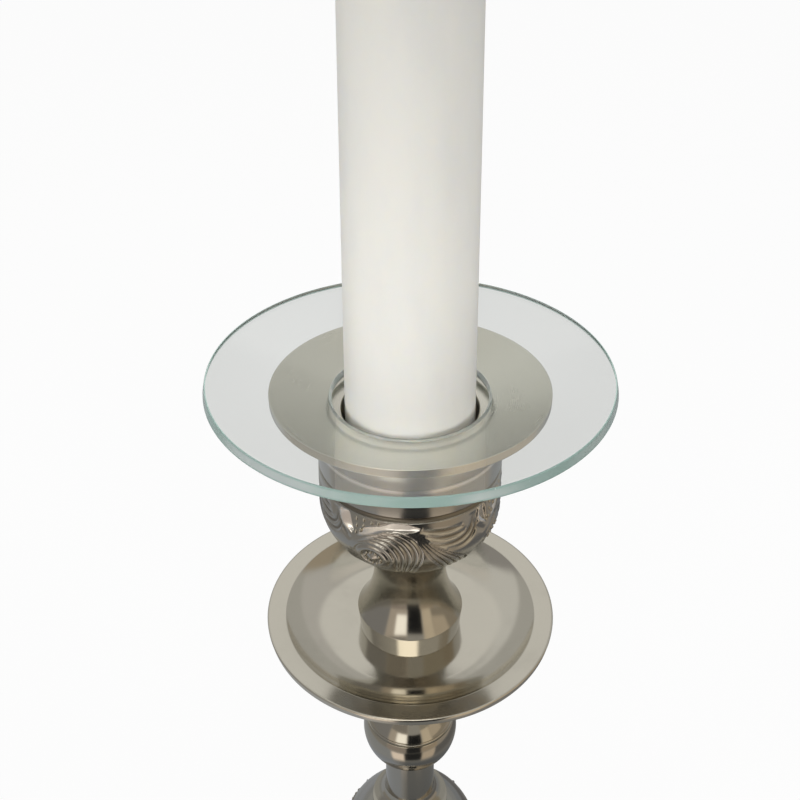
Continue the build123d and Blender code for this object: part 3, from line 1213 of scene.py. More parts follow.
class NodeTool:
    """Geometry Nodes tree with a size and a finish as its named inputs."""

    def __init__(self, name: str, size: str) -> None:
        """Build the tree.

        Args:
            name: name of the tree.
            size: name of its size input.
        """
        self.tree = bpy.data.node_groups.new(name, "GeometryNodeTree")
        face = self.tree.interface
        face.new_socket("Geometry", in_out="INPUT", socket_type="NodeSocketGeometry")
        self.size = face.new_socket(size, in_out="INPUT", socket_type="NodeSocketFloat").identifier
        self.finish = face.new_socket("Finish", in_out="INPUT", socket_type="NodeSocketMaterial").identifier
        face.new_socket("Geometry", in_out="OUTPUT", socket_type="NodeSocketGeometry")
        graph = Graph(self.tree)
        start = graph.node("NodeGroupInput")
        source, radius, finish = (graph.out(start, label) for label in ("Geometry", size, "Finish"))
        shape = self.shape(graph, source, radius)
        real = graph.out(graph.node("GeometryNodeRealizeInstances", Geometry=shape))
        smooth = graph.out(graph.node("GeometryNodeSetShadeSmooth", Geometry=real))
        dress = graph.out(graph.node("GeometryNodeSetMaterial", Geometry=smooth, Material=finish))
        graph.node("NodeGroupOutput", Geometry=dress)

    def shape(self, graph: Graph, source: Wire, radius: Wire) -> Wire:
        """Geometry made from the source mesh, which each tool gives."""
        raise NotImplementedError

    def run(self, name: str, seed: bpy.types.Mesh, size: float, material: Material) -> bpy.types.Object:
        """Run the tree on a mesh.

        Args:
            name: name of the piece.
            seed: mesh that the tree starts from.
            size: its size input, in millimetres.
            material: finish of the piece.

        Returns:
            The result as a plain mesh object at the origin.
        """
        carrier = add_object(f"{name}_seed", seed)
        modifier = carrier.modifiers.new("tool", "NODES")
        modifier.node_group = self.tree
        modifier[self.size] = size * MM
        modifier[self.finish] = material
        bpy.context.view_layer.update()
        evaluated = carrier.evaluated_get(bpy.context.evaluated_depsgraph_get())
        mesh = bpy.data.meshes.new_from_object(evaluated)
        mesh.name = name
        bpy.data.objects.remove(carrier)
        return add_object(name, mesh)


class BeadSetter(NodeTool):
    """Sets a bead on every point of a mesh."""

    def __init__(self) -> None:
        """Build the tree."""
        super().__init__("set_beads", "Bead radius")

    def shape(self, graph: Graph, source: Wire, radius: Wire) -> Wire:
        """Balls on the points, each scaled by the point's bead_size.

        Args:
            graph: graph of the tree.
            source: mesh that the tree gets.
            radius: its size input.

        Returns:
            The new geometry.
        """
        ball = graph.out(graph.node("GeometryNodeMeshIcoSphere", Subdivisions=3, Radius=radius))
        named = graph.node("GeometryNodeInputNamedAttribute", {"data_type": "FLOAT"}, Name="bead_size")
        scale = graph.out(named, "Attribute")
        setter = graph.node("GeometryNodeInstanceOnPoints", Points=source, Instance=ball, Scale=scale)
        return graph.out(setter)

    def set(
        self, name: str, spots: np.ndarray, sizes: Sequence[float], material: Material
    ) -> bpy.types.Object:
        """Set beads.

        Args:
            name: name of the piece.
            spots: bead centres in millimetres.
            sizes: bead radii in millimetres.
            material: finish of the beads.

        Returns:
            The beads as one object at the origin.
        """
        seed = new_mesh(f"{name}_spots", spots * MM)
        seed.attributes.new("bead_size", "FLOAT", "POINT").data.foreach_set("value", list(sizes))
        return self.run(name, seed, 1.0, material)


class WickTwister(NodeTool):
    """Sweeps a round ply along every edge path of a mesh."""

    def __init__(self) -> None:
        """Build the tree."""
        super().__init__("twist_plies", "Ply radius")

    def shape(self, graph: Graph, source: Wire, radius: Wire) -> Wire:
        """Closed tubes along the paths.

        Args:
            graph: graph of the tree.
            source: mesh that the tree gets.
            radius: its size input.

        Returns:
            The new geometry.
        """
        curve = graph.out(graph.node("GeometryNodeMeshToCurve", Mesh=source))
        ring = graph.out(graph.node("GeometryNodeCurvePrimitiveCircle", Resolution=10, Radius=radius))
        tube = graph.node("GeometryNodeCurveToMesh", Curve=curve, Profile_Curve=ring, Fill_Caps=True)
        return graph.out(tube)

    def twist(
        self, name: str, paths: Sequence[np.ndarray], radius: float, material: Material
    ) -> bpy.types.Object:
        """Sweep plies along paths.

        Args:
            name: name of the piece.
            paths: points along each ply, in millimetres.
            radius: radius of a ply, in millimetres.
            material: finish of the piece.

        Returns:
            The plies as one object at the origin.
        """
        edges: list[tuple[int, int]] = []
        first = 0
        for path in paths:
            edges += [(first + step, first + step + 1) for step in range(len(path) - 1)]
            first += len(path)
        return self.run(name, new_mesh(f"{name}_paths", np.concatenate(paths) * MM, edges), radius, material)


@dataclass(frozen=True)
class Foot:
    """Hollow domed foot with an engraved ring on its rim."""

    neck: float = 26.0
    cove: float = 18.0
    dome: float = 26.0
    ledge: float = 8.0
    rim: float = 8.0
    step: float = 11.0
    wall: float = 4.0
    rebate: float = 72.15
    rebate_depth: float = 1.5
    engraving: Sequence[Point] = ((3.0, 0.0), (2.4, 0.5), (1.8, 0.0), (0.0, 0.0))

    def outline(self) -> Outline:
        """Half section, out along the hollow and back over the dome.

        Returns:
            The outline above the piece's underside.
        """
        middle = self.neck + self.cove
        shoulder = middle + self.dome
        inner, edge = shoulder - self.wall, shoulder + self.ledge
        crown = self.step + self.dome
        ceiling, top = crown - self.wall, crown + self.cove
        quarter = 1 - math.sqrt(0.5)
        made = Outline(BORE, ceiling).to(middle, ceiling)
        made.bow(inner, self.step, -(self.dome - self.wall) * quarter, 24)
        made.to(inner, self.rebate_depth).to(self.rebate, self.rebate_depth).to(self.rebate, 0.0)
        made.to(edge, 0.0, 0.5).to(edge, self.rim, 3.0)
        for out, depth in self.engraving:
            made.to(shoulder + out, self.rim - depth, 0.3)
        made.to(shoulder, self.step, 0.4)
        made.bow(middle, crown, self.dome * quarter, 36)
        return made.bow(self.neck, top, -self.cove * quarter, 30, 0.4).to(BORE, top)


@dataclass(frozen=True)
class Bell:
    """Turned bell: foot band, sharp edge, flared shoulder and neck."""

    foot_radius: float = 23.0
    edge_radius: float = 24.0
    band_height: float = 11.5
    shoulder_height: float = 24.5

    def outline(self, height: float) -> Outline:
        """Half section of a bell of a given overall height.

        Args:
            height: overall height of the piece.

        Returns:
            The outline above the piece's underside.
        """
        made = Outline(BORE, 0.0).to(self.foot_radius, 0.0, 0.35)
        made.to(self.edge_radius, self.band_height, 0.4)
        made.sweep(NECK_RADIUS, self.band_height + self.shoulder_height, 40)
        return made.to(NECK_RADIUS, height, 0.25).to(BORE, height)


@dataclass(frozen=True)
class SlimNeck:
    """Slim neck with a collar at its foot."""

    collar: float = 20.0
    collar_height: float = 7.0
    cove_height: float = 10.0

    def outline(self, height: float) -> Outline:
        """Half section of a neck of a given overall height.

        Args:
            height: overall height of the piece.

        Returns:
            The outline above the piece's underside.
        """
        made = Outline(BORE, 0.0).to(self.collar, 0.0, 0.3).to(self.collar, self.collar_height, 0.5)
        made.sweep(SLIM_RADIUS, self.collar_height + self.cove_height)
        return made.to(SLIM_RADIUS, height).to(BORE, height)


@dataclass(frozen=True)
class GroovedBall:
    """Ball with a turned groove above its middle, cut flat at its foot and top."""

    radius: float
    foot_radius: float
    top_radius: float
    groove_low: float
    groove_high: float
    low_steps: int
    high_steps: int
    groove_depth: float = 0.8

    @property
    def centre(self) -> float:
        """Height of the ball's centre."""
        return leg(self.radius, self.foot_radius)

    @property
    def top(self) -> float:
        """Height of the flat top above the centre."""
        return leg(self.radius, self.top_radius)

    def outline(self) -> Outline:
        """Half section with the groove between its two stretches of ball.

        Returns:
            The outline above the piece's underside.
        """
        made = Outline(BORE, 0.0).to(self.foot_radius, 0.0)
        made.ball(self.radius, self.centre, -self.centre, self.groove_low, self.low_steps)
        groove = (leg(self.radius, self.groove_high), self.centre + self.groove_high)
        made.bow(*groove, -self.groove_depth, 8, 0.2)
        made.ball(self.radius, self.centre, self.groove_high, self.top, self.high_steps)
        return made.to(BORE, self.centre + self.top)


@dataclass(frozen=True)
class Spool:
    """Spool that carries the dish."""

    foot_height: float = 3.0
    waist: float = 11.0
    waist_rise: float = 22.0
    flange: float = 22.0
    flange_height: float = 5.0

    def outline(self, height: float) -> Outline:
        """Half section of a spool of a given overall height.

        Args:
            height: overall height of the piece.

        Returns:
            The outline above the piece's underside.
        """
        made = Outline(BORE, 0.0).to(SPOOL_FOOT, 0.0, 0.3).to(SPOOL_FOOT, self.foot_height, 0.4)
        made.sweep(self.waist, self.waist_rise).sweep(self.flange, height - self.flange_height, rounding=0.4)
        return made.to(self.flange, height, 0.3).to(BORE, height)


@dataclass(frozen=True)
class Dish:
    """Drip dish with a nearly level floor, which sweeps up to the lip."""

    radius: float = 65.8
    rise: float = 14.3
    rim: float = 3.8
    undercut: float = 0.75
    bottom: float = 44.0
    lip: float = 57.1
    lip_fall: float = 0.7
    seat: float = 25.0
    floor: float = 4.5
    floor_radius: float = 38.0
    floor_rise: float = 0.5

    def outline(self) -> Outline:
        """Half section whose wall leaves the floor without a crease.

        Returns:
            The outline above the piece's underside.
        """
        run, climb = self.lip - self.floor_radius, self.rise - self.lip_fall - self.floor - self.floor_rise
        turn = math.atan2(climb, run) - math.atan2(self.floor_rise, self.floor_radius - self.seat)
        bulge = math.hypot(run, climb) / 2 * math.tan(turn / 2)
        made = Outline(BORE, 0.0).to(self.bottom, 0.0, 0.8)
        made.to(self.radius - self.undercut, self.rise - self.rim, 0.9)
        made.to(self.radius, self.rise, 0.9).to(self.lip, self.rise - self.lip_fall, 2.0)
        made.bow(self.floor_radius, self.floor + self.floor_rise, -bulge, 32)
        return made.to(self.seat, self.floor).to(BORE, self.floor)


@dataclass(frozen=True)
class Cup:
    """Candle cup: carved bowl, groove, smooth band, round shoulder and socket."""

    turn_radius: float = 33.0
    turn_rise: float = 12.8
    turn_bulge: float = 0.9
    bowl_radius: float = 38.6
    bowl_rise: float = 29.3
    wall_steps: int = 28
    groove: float = 44.3
    groove_half: float = 1.5
    groove_depth: float = 1.2
    band_radius: float = 38.2
    brushed: float = 54.0
    band_top: float = 57.3
    shoulder: float = 66.3
    shoulder_bulge: float = 1.4
    height: float = 68.3
    mouth: float = 34.0
    spigot: float = 30.1
    spigot_floor: float = 60.3
    floor: float = 12.3
    recess: float = 11.5
    recess_floor: float = 2.3

    @property
    def carved_top(self) -> float:
        """Height at which the carving ends."""
        return self.groove - self.groove_half

    def outline(self) -> Outline:
        """Half section, up the outside and down through the socket.

        Returns:
            The outline above the piece's underside.
        """
        made = Outline(BORE, 0.0).to(NECK_RADIUS, 0.0)
        made.bow(self.turn_radius, self.turn_rise, self.turn_bulge, 30)
        made.sweep(self.bowl_radius, self.bowl_rise, 36, outward=True)
        taper, climb = self.band_radius - self.bowl_radius, self.carved_top - self.bowl_rise
        for step in range(1, self.wall_steps + 1):
            share = step / self.wall_steps
            made.to(self.bowl_radius + taper * share, self.bowl_rise + climb * share)
        made.bow(self.band_radius, self.groove + self.groove_half, -self.groove_depth, 6, 0.2)
        made.to(self.band_radius, self.brushed).to(self.band_radius, self.band_top)
        made.bow(self.mouth, self.shoulder, self.shoulder_bulge, 10, 0.3)
        made.to(self.mouth, self.height, 0.3).to(self.spigot, self.height).to(self.spigot, self.spigot_floor)
        made.to(SOCKET_RADIUS, self.spigot_floor, 0.2).to(SOCKET_RADIUS, self.floor)
        made.to(self.recess, self.floor, 0.3).to(self.recess, self.recess_floor)
        return made.to(BORE, self.recess_floor)


@dataclass(frozen=True)
class Pan:
    """Drip pan under the glass, with a spigot that plugs into the cup."""

    radius: float = 56.5
    hub: float = 1.95
    thick: float = 3.8
    spigot: float = 30.0
    mouth: float = 34.0
    length: float = 7.8

    def outline(self, height: float) -> Outline:
        """Half section of a pan of a given overall height.

        Args:
            height: overall height of the piece.

        Returns:
            The outline above the piece's underside.
        """
        fall = math.tan(math.radians(GLASS_SLOPE))
        lip = self.hub + self.thick - (self.mouth - SOCKET_RADIUS) * fall
        made = Outline(SOCKET_RADIUS, 0.0).to(self.spigot, 0.0, 0.2).to(self.spigot, self.length)
        made.to(self.mouth, self.length, 0.2).to(self.mouth, self.length + self.hub, 0.5)
        made.to(self.radius, height - self.thick, 0.8).to(self.radius, height, 0.8)
        return made.bow(SOCKET_RADIUS, self.length + lip, -0.5, 32, 0.9)


@dataclass
class Stem(Assembly):
    """Foot, bells, necks, bulb, spool and drip dish."""

    foot: Foot = Foot()
    bell: Bell = Bell()
    neck: SlimNeck = SlimNeck()
    bulb: GroovedBall = GroovedBall(
        radius=23.4, foot_radius=SLIM_RADIUS, top_radius=SPOOL_FOOT, groove_low=8.1, groove_high=9.9,
        low_steps=40, high_steps=40,
    )
    spool: Spool = Spool()
    dish: Dish = Dish()
    felt_round: float = 0.5

    def build(self, polished: Material, mirror: Material, felt: Material) -> None:
        """Lathe every piece.

        Args:
            polished: finish of the stem.
            mirror: finish of the dish.
            felt: finish of the pad under the foot.
        """
        self.turn("base_foot", self.foot.outline(), polished)
        radius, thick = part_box("felt_pad")[1][0] / MM, self.height("felt_pad")
        pad = Outline(0.0, 0.0).to(radius, 0.0, self.felt_round).to(radius, thick, self.felt_round)
        self.turn("felt_pad", pad.to(0.0, thick), felt, Slot.FELT)
        for node, shape in (("lower_bell", self.bell), ("upper_bell", self.bell), ("slim_neck", self.neck)):
            self.turn(node, shape.outline(self.height(node)), polished)
        self.turn("stem_bulb", self.bulb.outline(), polished)
        self.turn("dish_spool", self.spool.outline(self.height("dish_spool")), polished)
        self.turn("drip_dish", self.dish.outline(), mirror)


@dataclass
class CarvedWork(Assembly):
    """Candle cup and lower knop with their carving and beads, and the drip pan."""

    setter: BeadSetter
    scroll: LeafScroll = field(default_factory=LeafScroll)
    cup: Cup = Cup()
    knop: GroovedBall = GroovedBall(
        radius=37.4, foot_radius=NECK_RADIUS, top_radius=20.0, groove_low=15.0, groove_high=16.6,
        low_steps=84, high_steps=20,
    )
    pan: Pan = Pan()
    bead_sink: float = 0.55
    dark_half: float = 1.3

    def carve(
        self, node: str, rings: np.ndarray, inside: np.ndarray, share: float, groove: float, brushed: float,
        finish: Material,
    ) -> None:
        """Lathe a piece and carve the rings that are marked.

        Args:
            node: CAD node it stands for.
            rings: outline above the node's underside.
            inside: which rings are carved.
            share: height on the scroll of a millimetre on the piece.
            groove: height of the groove over the carving, whose band gets the dark hollow colour of tarnish
                and painted shade.
            brushed: height from which the piece is brushed.
            finish: finish of the piece.
        """
        turn, z = np.meshgrid(self.lathe.turns, rings[:, 1] * share)
        offset, level = self.scroll.lift(turn, z)
        offset = np.where(inside[:, None], offset, 0.0)
        level = np.where(inside[:, None], level, Relief.SMOOTH.value)
        # Rings beside the groove get the hollow colour: tarnish plus painted shade
        beside = np.abs(rings[:, 1] - groove) < self.dark_half
        level[~inside & beside & (rings[:, 0] > SOCKET_RADIUS + 1)] = Relief.CUT.value
        level[rings[:, 1] > brushed] = Relief.BRUSHED.value
        lift = offset[..., None] * self.lathe.normals(rings)[:, None, :]
        raised = rings + np.array((0.0, self.underside(node)))
        piece = self.lathe.solid(f"{node}_carved", raised, [finish], lift)
        piece.data.attributes.new("relief", "FLOAT", "POINT").data.foreach_set("value", level.ravel())
        self.join(piece, Body.STAND, Slot.NICKEL, node)

    def set_beads(self, name: str, node: str, outer: np.ndarray, share: float, finish: Material) -> None:
        """Set the scroll's beads.

        Args:
            name: name of the piece.
            node: CAD node that carries the beads.
            outer: radius and height of the carved rings, from the foot up.
            share: height on the scroll of a millimetre on the node.
            finish: finish of the beads.
        """
        turn, z, sizes = np.array(self.scroll.beads()).T
        height = z / share
        out = np.interp(height, outer[:, 1], outer[:, 0]) - self.bead_sink * sizes
        spots = about_axis(out, turn, height + self.underside(node))
        self.join(self.setter.set(name, spots, sizes, finish), Body.STAND, Slot.NICKEL)

    @staticmethod
    def bowl(rings: np.ndarray, top: float) -> tuple[np.ndarray, np.ndarray]:
        """Pick the carved rings of an outline that starts at the bore and runs up its outside.

        Args:
            rings: radius and height of each ring.
            top: height at which the carving ends.

        Returns:
            The outer rings below the top, and a mark for every ring that is carved.
        """
        first = int(np.argmax(rings[:, 0] > NECK_RADIUS - 0.5))
        last = int(np.argmax(rings[:, 1] > top - 0.05))
        inside = np.zeros(len(rings), dtype=bool)
        inside[first + 2 : last] = True
        return rings[first : last + 1], inside

    def build(self, carved: Material, bright: Material, satin: Material) -> None:
        """Make the cup, the knop and the pan.

        Args:
            carved: finish of the cup and the knop.
            bright: finish of their beads.
            satin: finish of the pan.
        """
        cup, knop = self.cup, self.knop
        rings = cup.outline().rounded()
        outer, inside = self.bowl(rings, cup.carved_top)
        self.carve("candle_cup", rings, inside, 1.0, cup.groove, cup.brushed + 0.1, carved)
        self.set_beads("cup_beads", "candle_cup", outer, 1.0, bright)
        rings = knop.outline().rounded()
        top = knop.centre + knop.groove_low
        outer, inside = self.bowl(rings, top)
        share = self.scroll.rise / top
        groove = knop.centre + (knop.groove_low + knop.groove_high) / 2
        self.carve("lower_knop", rings, inside, share, groove, knop.centre + knop.top, carved)
        self.set_beads("knop_beads", "lower_knop", outer, share, bright)
        self.turn("drip_pan", self.pan.outline(self.height("drip_pan")), satin)


@dataclass
class CandlePlate(Assembly):
    """Dished glass ring with a ground hole and edge."""

    radius: float = 80.0
    hole: float = 31.0
    thickness: float = 4.0
    chamfer: float = 1.2
    edge_round: float = 0.6
    face_round: float = 0.25
    hole_round: float = 0.3
    ground_edge: float = 0.7

    def build(self, glass: Material, edge: Material) -> None:
        """Lathe the plate with clear faces and ground edges.

        Args:
            glass: finish of the faces.
            edge: finish of the edges.
        """
        tilt = math.radians(GLASS_SLOPE)
        across, up = math.cos(tilt), math.sin(tilt)
        out, down = self.thickness * up, self.thickness * across
        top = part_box("glass_plate")[1][2] / MM
        hole, cut = self.hole, self.chamfer
        low = top - (self.radius - hole) * math.tan(tilt)
        made = Outline(hole + out + cut * across, low - down + cut * up, self.face_round)
        made.to(self.radius + out, top - down, self.edge_round).to(self.radius, top, self.edge_round)
        made.to(hole + cut * across, low + cut * up, self.face_round)
        made.to(hole + cut * up, low - cut * across, self.hole_round)
        made.to(hole + out - cut * up, low - down + cut * across, self.hole_round)

        def band(radius: float, height: float) -> int:
            """Ground finish on the edges, clear glass between.

            Args:
                radius: radius of a face's middle.
                height: height of a face's middle.

            Returns:
                Index of the face's material.
            """
            along = (radius - self.radius) * across + (height - top) * up
            back = (radius - hole) * across + (height - low) * up
            return 1 if along > -self.ground_edge or back < cut + 0.1 else 0

        piece = self.lathe.solid("glass_plate_ground", made.rounded(), [glass, edge], bands=band)
        self.join(piece, Body.PLATE, Slot.GLASS, "glass_plate")


@dataclass
class Candle(Assembly):
    """Pillar candle and its braided wick."""

    twister: WickTwister
    foot_radius: float = 27.2
    top_radius: float = 22.4
    foot_round: float = 0.8
    crown: float = 4.0
    well_radius: float = 6.0
    well_depth: float = 0.4
    well_round: float = 2.0
    wick_dip: float = 1.2
    spike_radius: float = 4.4
    spike_depth: float = 28.4
    wick_radius: float = 1.4
    plies: int = 3
    ply_radius: float = 0.72
    ply_reach: float = 0.62
    twist: float = 1.5
    braid: float = 40.0
    bend: float = 0.012
    bend_length: float = 10.0
    tip_gap: float = 0.75

    def wax(self, finish: Material) -> None:
        """Candle with its draft, a dished crown and the hole for the pricket.

        Args:
            finish: finish of the wax.
        """
        length = self.height("candle")
        made = Outline(self.wick_radius, self.spike_depth).to(self.spike_radius, 0.0)
        made.to(self.foot_radius, 0.0, self.foot_round).to(self.top_radius, length, self.crown)
        made.to(self.well_radius, length - self.well_depth, self.well_round)
        made.to(self.wick_radius, length - self.wick_dip)
        piece = self.lathe.solid("pillar_candle", self.place("candle", made), [finish])
        self.join(piece, Body.CANDLE, Slot.WAX, "candle")

    def wick(self, finish: Material) -> None:
        """Braided plies that lean over at the tip.

        Args:
            finish: finish of the wick.
        """
        bottom, top = self.underside("wick"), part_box("wick")[1][2] / MM - self.tip_gap
        heights = np.linspace(top - self.braid, top, 120)
        lean = self.bend * np.clip(heights - (top - self.bend_length), 0, None) ** 2
        paths: list[np.ndarray] = []
        for ply in range(self.plies):
            turn = heights * self.twist + 2 * math.pi * ply / self.plies
            x, y = self.ply_reach * np.cos(turn) + lean, self.ply_reach * np.sin(turn)
            paths.append(np.stack((x, y, heights), axis=1))
        paths.append(np.array(((0.0, 0.0, bottom), (0.0, 0.0, top - self.braid))))
        piece = self.twister.twist("braided_wick", paths, self.ply_radius, finish)
        self.join(piece, Body.CANDLE, Slot.COTTON, "wick")


@dataclass(frozen=True)
class View:
    """Camera fitted to the plate, in millimetres from the plate's rim plane."""

    lens: float = 45.07
    sensor: float = 36.0
    nearest: float = 0.01
    back: float = 333.9
    above: float = 206.6
    pitch: float = 33.56
    yaw: float = 0.70
    roll: float = -0.35

    def build(self, rim: float) -> None:
        """Add the camera above the rim's height in millimetres.

        Args:
            rim: height of the plate's rim in millimetres.
        """
        data = bpy.data.cameras.new("camera")
        data.lens, data.sensor_width, data.clip_start = self.lens, self.sensor, self.nearest
        camera = add_object("camera", data)
        camera.location = (0.0, -self.back * MM, (rim + self.above) * MM)
        turns = ((self.yaw, "Z"), (90 - self.pitch, "X"), (self.roll, "Z"))
        yaw, tip, roll = (Matrix.Rotation(math.radians(angle), 3, axis) for angle, axis in turns)
        camera.rotation_euler = (yaw @ tip @ roll).to_euler()
        bpy.context.scene.camera = camera


@dataclass(frozen=True)
class Panel:
    """Soft-edged patch of the room that the metal mirrors.

    Angles are degrees from the camera's side, with the right positive. Places along the room's section
    are metres: out along the floor, then up the wall, then in along the ceiling.
    """

    name: str
    start: float
    end: float
    low: float
    high: float
    colour: Colour
    soft: float = 7.0

    def share(self, turn: np.ndarray, place: np.ndarray) -> np.ndarray:
        """How much of the patch shows at points of the room, from 0 to 1.

        Args:
            turn: angles in degrees.
            place: places along the room's section.

        Returns:
            Shares from 0 to 1.
        """
        half, edge = (self.end - self.start) / 2, self.soft / 2
        away = np.abs((turn - (self.start + self.end) / 2 + 180) % 360 - 180)
        rise = min(0.006 * self.soft, 0.09)
        above = ease(place, self.low - rise, self.low + rise)
        below = 1 - ease(place, self.high - rise, self.high + rise)
        return (1 - ease(away, half - edge, half + edge)) * above * below


@dataclass(frozen=True)
class Lamp:
    """Soft lamp that the metal doesn't mirror.

    Its place and the height of its aim are metres from the middle of the plate's rim. The cone is the
    width of its beam in degrees, or 0 for an open lamp.
    """

    name: str
    place: tuple[float, float, float]
    aim: float
    size: float
    power: float
    cone: float = 0.0

    def build(self, rim: float) -> None:
        """Add the lamp for a rim height in metres.

        Args:
            rim: height of the plate's rim in metres.
        """
        data = bpy.data.lights.new(self.name, "SPOT" if self.cone else "AREA")
        data.energy = self.power
        if self.cone:
            data.shadow_soft_size, data.spot_blend = self.size / 2, 1.0
            data.spot_size = math.radians(self.cone)
        else:
            data.size = self.size
        lamp = add_object(self.name, data)
        x, y, z = self.place
        lamp.location = (x, y, rim + z)
        drop = math.atan2(z - self.aim, math.hypot(x, y))
        lamp.rotation_euler = (math.pi / 2 - drop, 0, math.atan2(-y, -x) - math.pi / 2)
        lamp.visible_glossy = False
        lamp.visible_transmission = False
        lamp.visible_camera = False


@dataclass(frozen=True)
class Studio:
    """Pale floor, white surround, soft lamps and the room that the metal mirrors."""

    floor_half: float = 9.0
    floor_colour: Colour = (0.86, 0.86, 0.85)
    floor_white: float = 0.93
    fill: float = 0.58
    through: float = 0.38
    room_radius: float = 1.4
    room_height: float = 2.4
    room_colour: Colour = (0.42, 0.40, 0.36)
    room: Sequence[Panel] = (
        Panel("left wall", -125, -49, 1.35, 3.8, (0.30, 0.29, 0.28)),
        Panel("window wall", -49, -6, 1.35, 3.8, (0.60, 0.52, 0.43)),
        Panel("curtain", -49, -7, 2.2, 3.3, (0.32, 0.29, 0.25)),
        Panel("window", -31, -7, 1.56, 2.15, (1.65, 1.56, 1.40)),
        Panel("doorway", -6, 26, 1.35, 2.12, (0.02, 0.02, 0.02), 4.0),
        Panel("tan wall", 48, 110, 1.35, 3.8, (0.36, 0.31, 0.24)),
        Panel("beige wall", 28, 50, 1.35, 2.35, (0.78, 0.66, 0.49)),
        Panel("beige side", 50, 80, 1.62, 2.35, (0.62, 0.52, 0.39)),
        Panel("beige head", 28, 76, 2.35, 3.3, (0.38, 0.34, 0.27)),
        Panel("front head", -49, 76, 3.3, 3.8, (0.60, 0.57, 0.52)),
        Panel("back wall", 110, 250, 1.35, 3.8, (0.43, 0.425, 0.40), 14.0),
        Panel("back right", 112, 176, 2.5, 3.8, (0.50, 0.49, 0.47), 14.0),
        Panel("back left", 184, 250, 2.5, 3.8, (0.605, 0.60, 0.575), 14.0),
        Panel("back head", 166, 194, 2.95, 3.5, (0.68, 0.67, 0.64), 14.0),
        Panel("skirting", 105, 255, 1.35, 1.72, (0.36, 0.36, 0.35), 10.0),
        Panel("ceiling", -190, 190, 3.78, 5.3, (0.60, 0.58, 0.54), 10.0),
        Panel("lamp", -32, 20, 3.6, 4.45, (2.6, 2.45, 2.2), 8.0),
        Panel("left apron", -180, -28, 0.0, 0.20, (0.32, 0.34, 0.37), 50.0),
        Panel("right apron", -28, 180, 0.0, 0.20, (0.14, 0.145, 0.15), 50.0),
        Panel("left rug", -180, -40, 0.20, 0.44, (0.36, 0.37, 0.38)),
        Panel("light rug", -40, -12, 0.19, 0.40, (1.20, 1.02, 0.86)),
        Panel("dark rug", -12, 26, 0.20, 0.44, (0.03, 0.03, 0.03), 5.0),
        Panel("beige rug", 26, 56, 0.20, 0.42, (0.68, 0.56, 0.43)),
        Panel("right rug", 56, 180, 0.20, 0.44, (0.17, 0.165, 0.16)),
        Panel("grey floor", -115, -49, 0.44, 1.35, (0.32, 0.30, 0.27)),
        Panel("sunlit floor", -49, -8, 0.44, 1.35, (0.40, 0.34, 0.29)),
        Panel("dark floor", -8, 24, 0.44, 1.35, (0.03, 0.03, 0.03), 5.0),
        Panel("beige floor", 24, 62, 0.44, 1.35, (0.47, 0.38, 0.28)),
        Panel("tan floor", 62, 115, 0.44, 1.35, (0.42, 0.37, 0.31)),
        Panel("back floor", 115, 180, 0.44, 1.42, (0.29, 0.30, 0.31)),
        Panel("back left floor", 180, 245, 0.44, 1.42, (0.40, 0.41, 0.43)),
    )
    lamps: Sequence[Lamp] = (
        Lamp("daylight", (-0.45, -1.05, 0.6), 0.0, 0.6, 1.6),
        Lamp("overhead", (0.3, 0.5, 1.6), 0.0, 1.4, 8.0),
        Lamp("right_fill", (0.35, -0.75, 0.35), -0.055, 0.3, 20.0, 24.0),
        Lamp("left_fill", (-0.6, -0.4, 0.35), -0.055, 0.3, 17.5, 26.0),
    )

    def seen(self, graph: Graph) -> Wire:
        """1 for the rays that should meet a white background, less for those through the glass.

        Args:
            graph: graph of the world or the floor.

        Returns:
            The level.
        """
        path = graph.node("ShaderNodeLightPath")
        crossing = graph.out(path, "Is Transmission Ray")
        bounced = graph.math("MAXIMUM", graph.out(path, "Is Glossy Ray"), crossing)
        level = bounced * (1.0 - crossing * (1.0 - self.through))
        return graph.math("MAXIMUM", graph.out(path, "Is Camera Ray"), level)

    def world(self) -> None:
        """White surround that lights at a plain level."""
        world = bpy.data.worlds.new("surround")
        world.use_nodes = True
        bpy.context.scene.world = world
        graph = Graph(world.node_tree)
        strength = self.fill + self.seen(graph) * (1.0 - self.fill)
        light = graph.node("ShaderNodeBackground", Color=WHITE, Strength=strength)
        graph.node("ShaderNodeOutputWorld", Surface=graph.out(light))

    def floor(self) -> None:
        """Pale floor that keeps the shadow and shows white to the camera."""
        material, graph = new_material("floor_paper")
        matte = graph.node("ShaderNodeBsdfDiffuse", Color=rgba(self.floor_colour))
        glow = graph.node("ShaderNodeEmission", Color=WHITE, Strength=1.0)
        graph.surface(graph.blend(self.seen(graph) * self.floor_white, matte, glow))
        corners = ((-1, -1), (1, -1), (1, 1), (-1, 1))
        points = [(x * self.floor_half, y * self.floor_half, 0.0) for x, y in corners]
        mesh = new_mesh("floor", points, faces=[(0, 1, 2, 3)])
        mesh.materials.append(material)
        add_object("floor", mesh)

    def paint(self, angle: np.ndarray, along: np.ndarray) -> np.ndarray:
        """Colours of the room by angle in degrees and place along its section, with alpha.

        Args:
            angle: angles in degrees.
            along: places along the room's section.

        Returns:
            Colours with alpha.
        """
        colour = np.ones((*along.shape, 3)) * self.room_colour
        for panel in self.room:
            share = panel.share(angle, along)[..., None]
            colour = colour * (1 - share) + share * panel.colour
            LOG.info("room has its %s", panel.name)
        return np.concatenate((colour, np.ones((*along.shape, 1))), axis=-1)

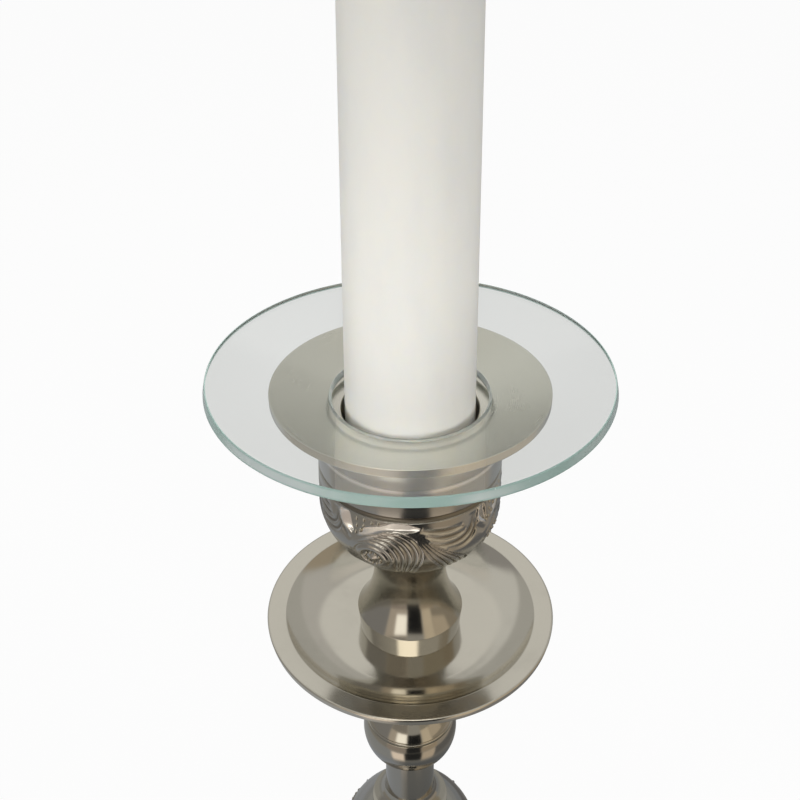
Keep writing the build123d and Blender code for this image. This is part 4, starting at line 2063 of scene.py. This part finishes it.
    def shell(self, turns: int = 180, steps: int = 160) -> None:
        """Add the room as one surface that only shows in reflections.

        Args:
            turns: steps round the room.
            steps: steps along its section.
        """
        reach, wall = self.room_radius, self.room_height
        length = 2 * reach + wall
        place = np.linspace(0.06, length - 0.01, steps + 1)
        angle, along = np.meshgrid(np.linspace(0, 360, turns, endpoint=False), place)
        radius = np.where(along < reach, along, np.minimum(reach, length - along))
        points = about_axis(radius, np.radians(angle), np.clip(along - reach, 0.002, wall)).reshape(-1, 3)
        faces = []
        for low in range(0, steps * turns, turns):
            for turn in range(turns):
                side = (turn + 1) % turns
                faces.append((low + turn, low + side, low + turns + side, low + turns + turn))
        mesh = new_mesh("room", points, faces=faces)
        paint = mesh.attributes.new("paint", "FLOAT_COLOR", "POINT")
        paint.data.foreach_set("color", self.paint(angle, along).ravel())
        material, graph = new_material("room_paint")
        glow = graph.node("ShaderNodeEmission", Color=graph.attribute("paint", "Color"), Strength=1.0)
        clear = graph.node("ShaderNodeBsdfTransparent")
        bounces = graph.out(graph.node("ShaderNodeLightPath"), "Glossy Depth")
        graph.surface(graph.blend(graph.math("GREATER_THAN", bounces, 0.5), clear, glow))
        mesh.materials.append(material)
        made = add_object("room", mesh)
        made.visible_camera = False
        made.visible_diffuse = False
        made.visible_shadow = False

    def build(self, rim: float) -> None:
        """Set up everything round the object for a rim height in metres.

        Args:
            rim: height of the plate's rim in metres.
        """
        self.world()
        self.floor()
        self.shell()
        for lamp in self.lamps:
            lamp.build(rim)


def dress_hidden(finish: Material, nodes: Sequence[str], frame: dict[str, Any]) -> None:
    """Give the CAD nodes that stay their finish.

    Args:
        finish: finish of the nodes.
        nodes: names of the nodes.
        frame: the loaded frame.
    """
    for node in nodes:
        data = frame["nodes"][node].data
        data.materials.clear()
        data.materials.append(finish)
        LOG.info("%s keeps its CAD shape", node)


def main() -> None:
    """Build every sub-assembly in order, then the studio and the camera."""
    logging.basicConfig(level=logging.INFO)
    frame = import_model()
    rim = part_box("glass_plate")[1][2]
    bpy.context.scene.view_settings.view_transform = "Standard"

    polished = NickelFinish("polished_nickel").build()
    mirror = NickelFinish("mirror_nickel", tone=(0.71, 0.68, 0.605), roughness=0.13, cloud=0.08).build()
    brushed = {"tone": (0.92, 0.90, 0.82), "roughness": 0.26, "cloud": 0.08, "ring_depth": 0.003}
    satin = NickelFinish("satin_nickel", **brushed).build()
    carved = NickelFinish("carved_nickel", tone=(0.47, 0.46, 0.43), roughness=0.15, relief=True).build()

    lathe = Lathe(256)
    fine = Lathe(640)
    Stem(lathe).build(polished, mirror, FeltFinish().build())
    CarvedWork(fine, BeadSetter()).build(carved, polished, satin)
    CandlePlate(lathe).build(GlassFinish().build(), GroundEdgeFinish().build())
    candle = Candle(lathe, WickTwister())
    candle.wax(WaxFinish().build())
    candle.wick(CottonFinish().build())
    hidden = ("base_cover", "base_washer", "base_nut", "tie_rod", "cup_washer", "pricket")
    dress_hidden(SteelFinish().build(), hidden, frame)

    View().build(rim / MM)
    Studio().build(rim)


if __name__ == "__main__":
    main()
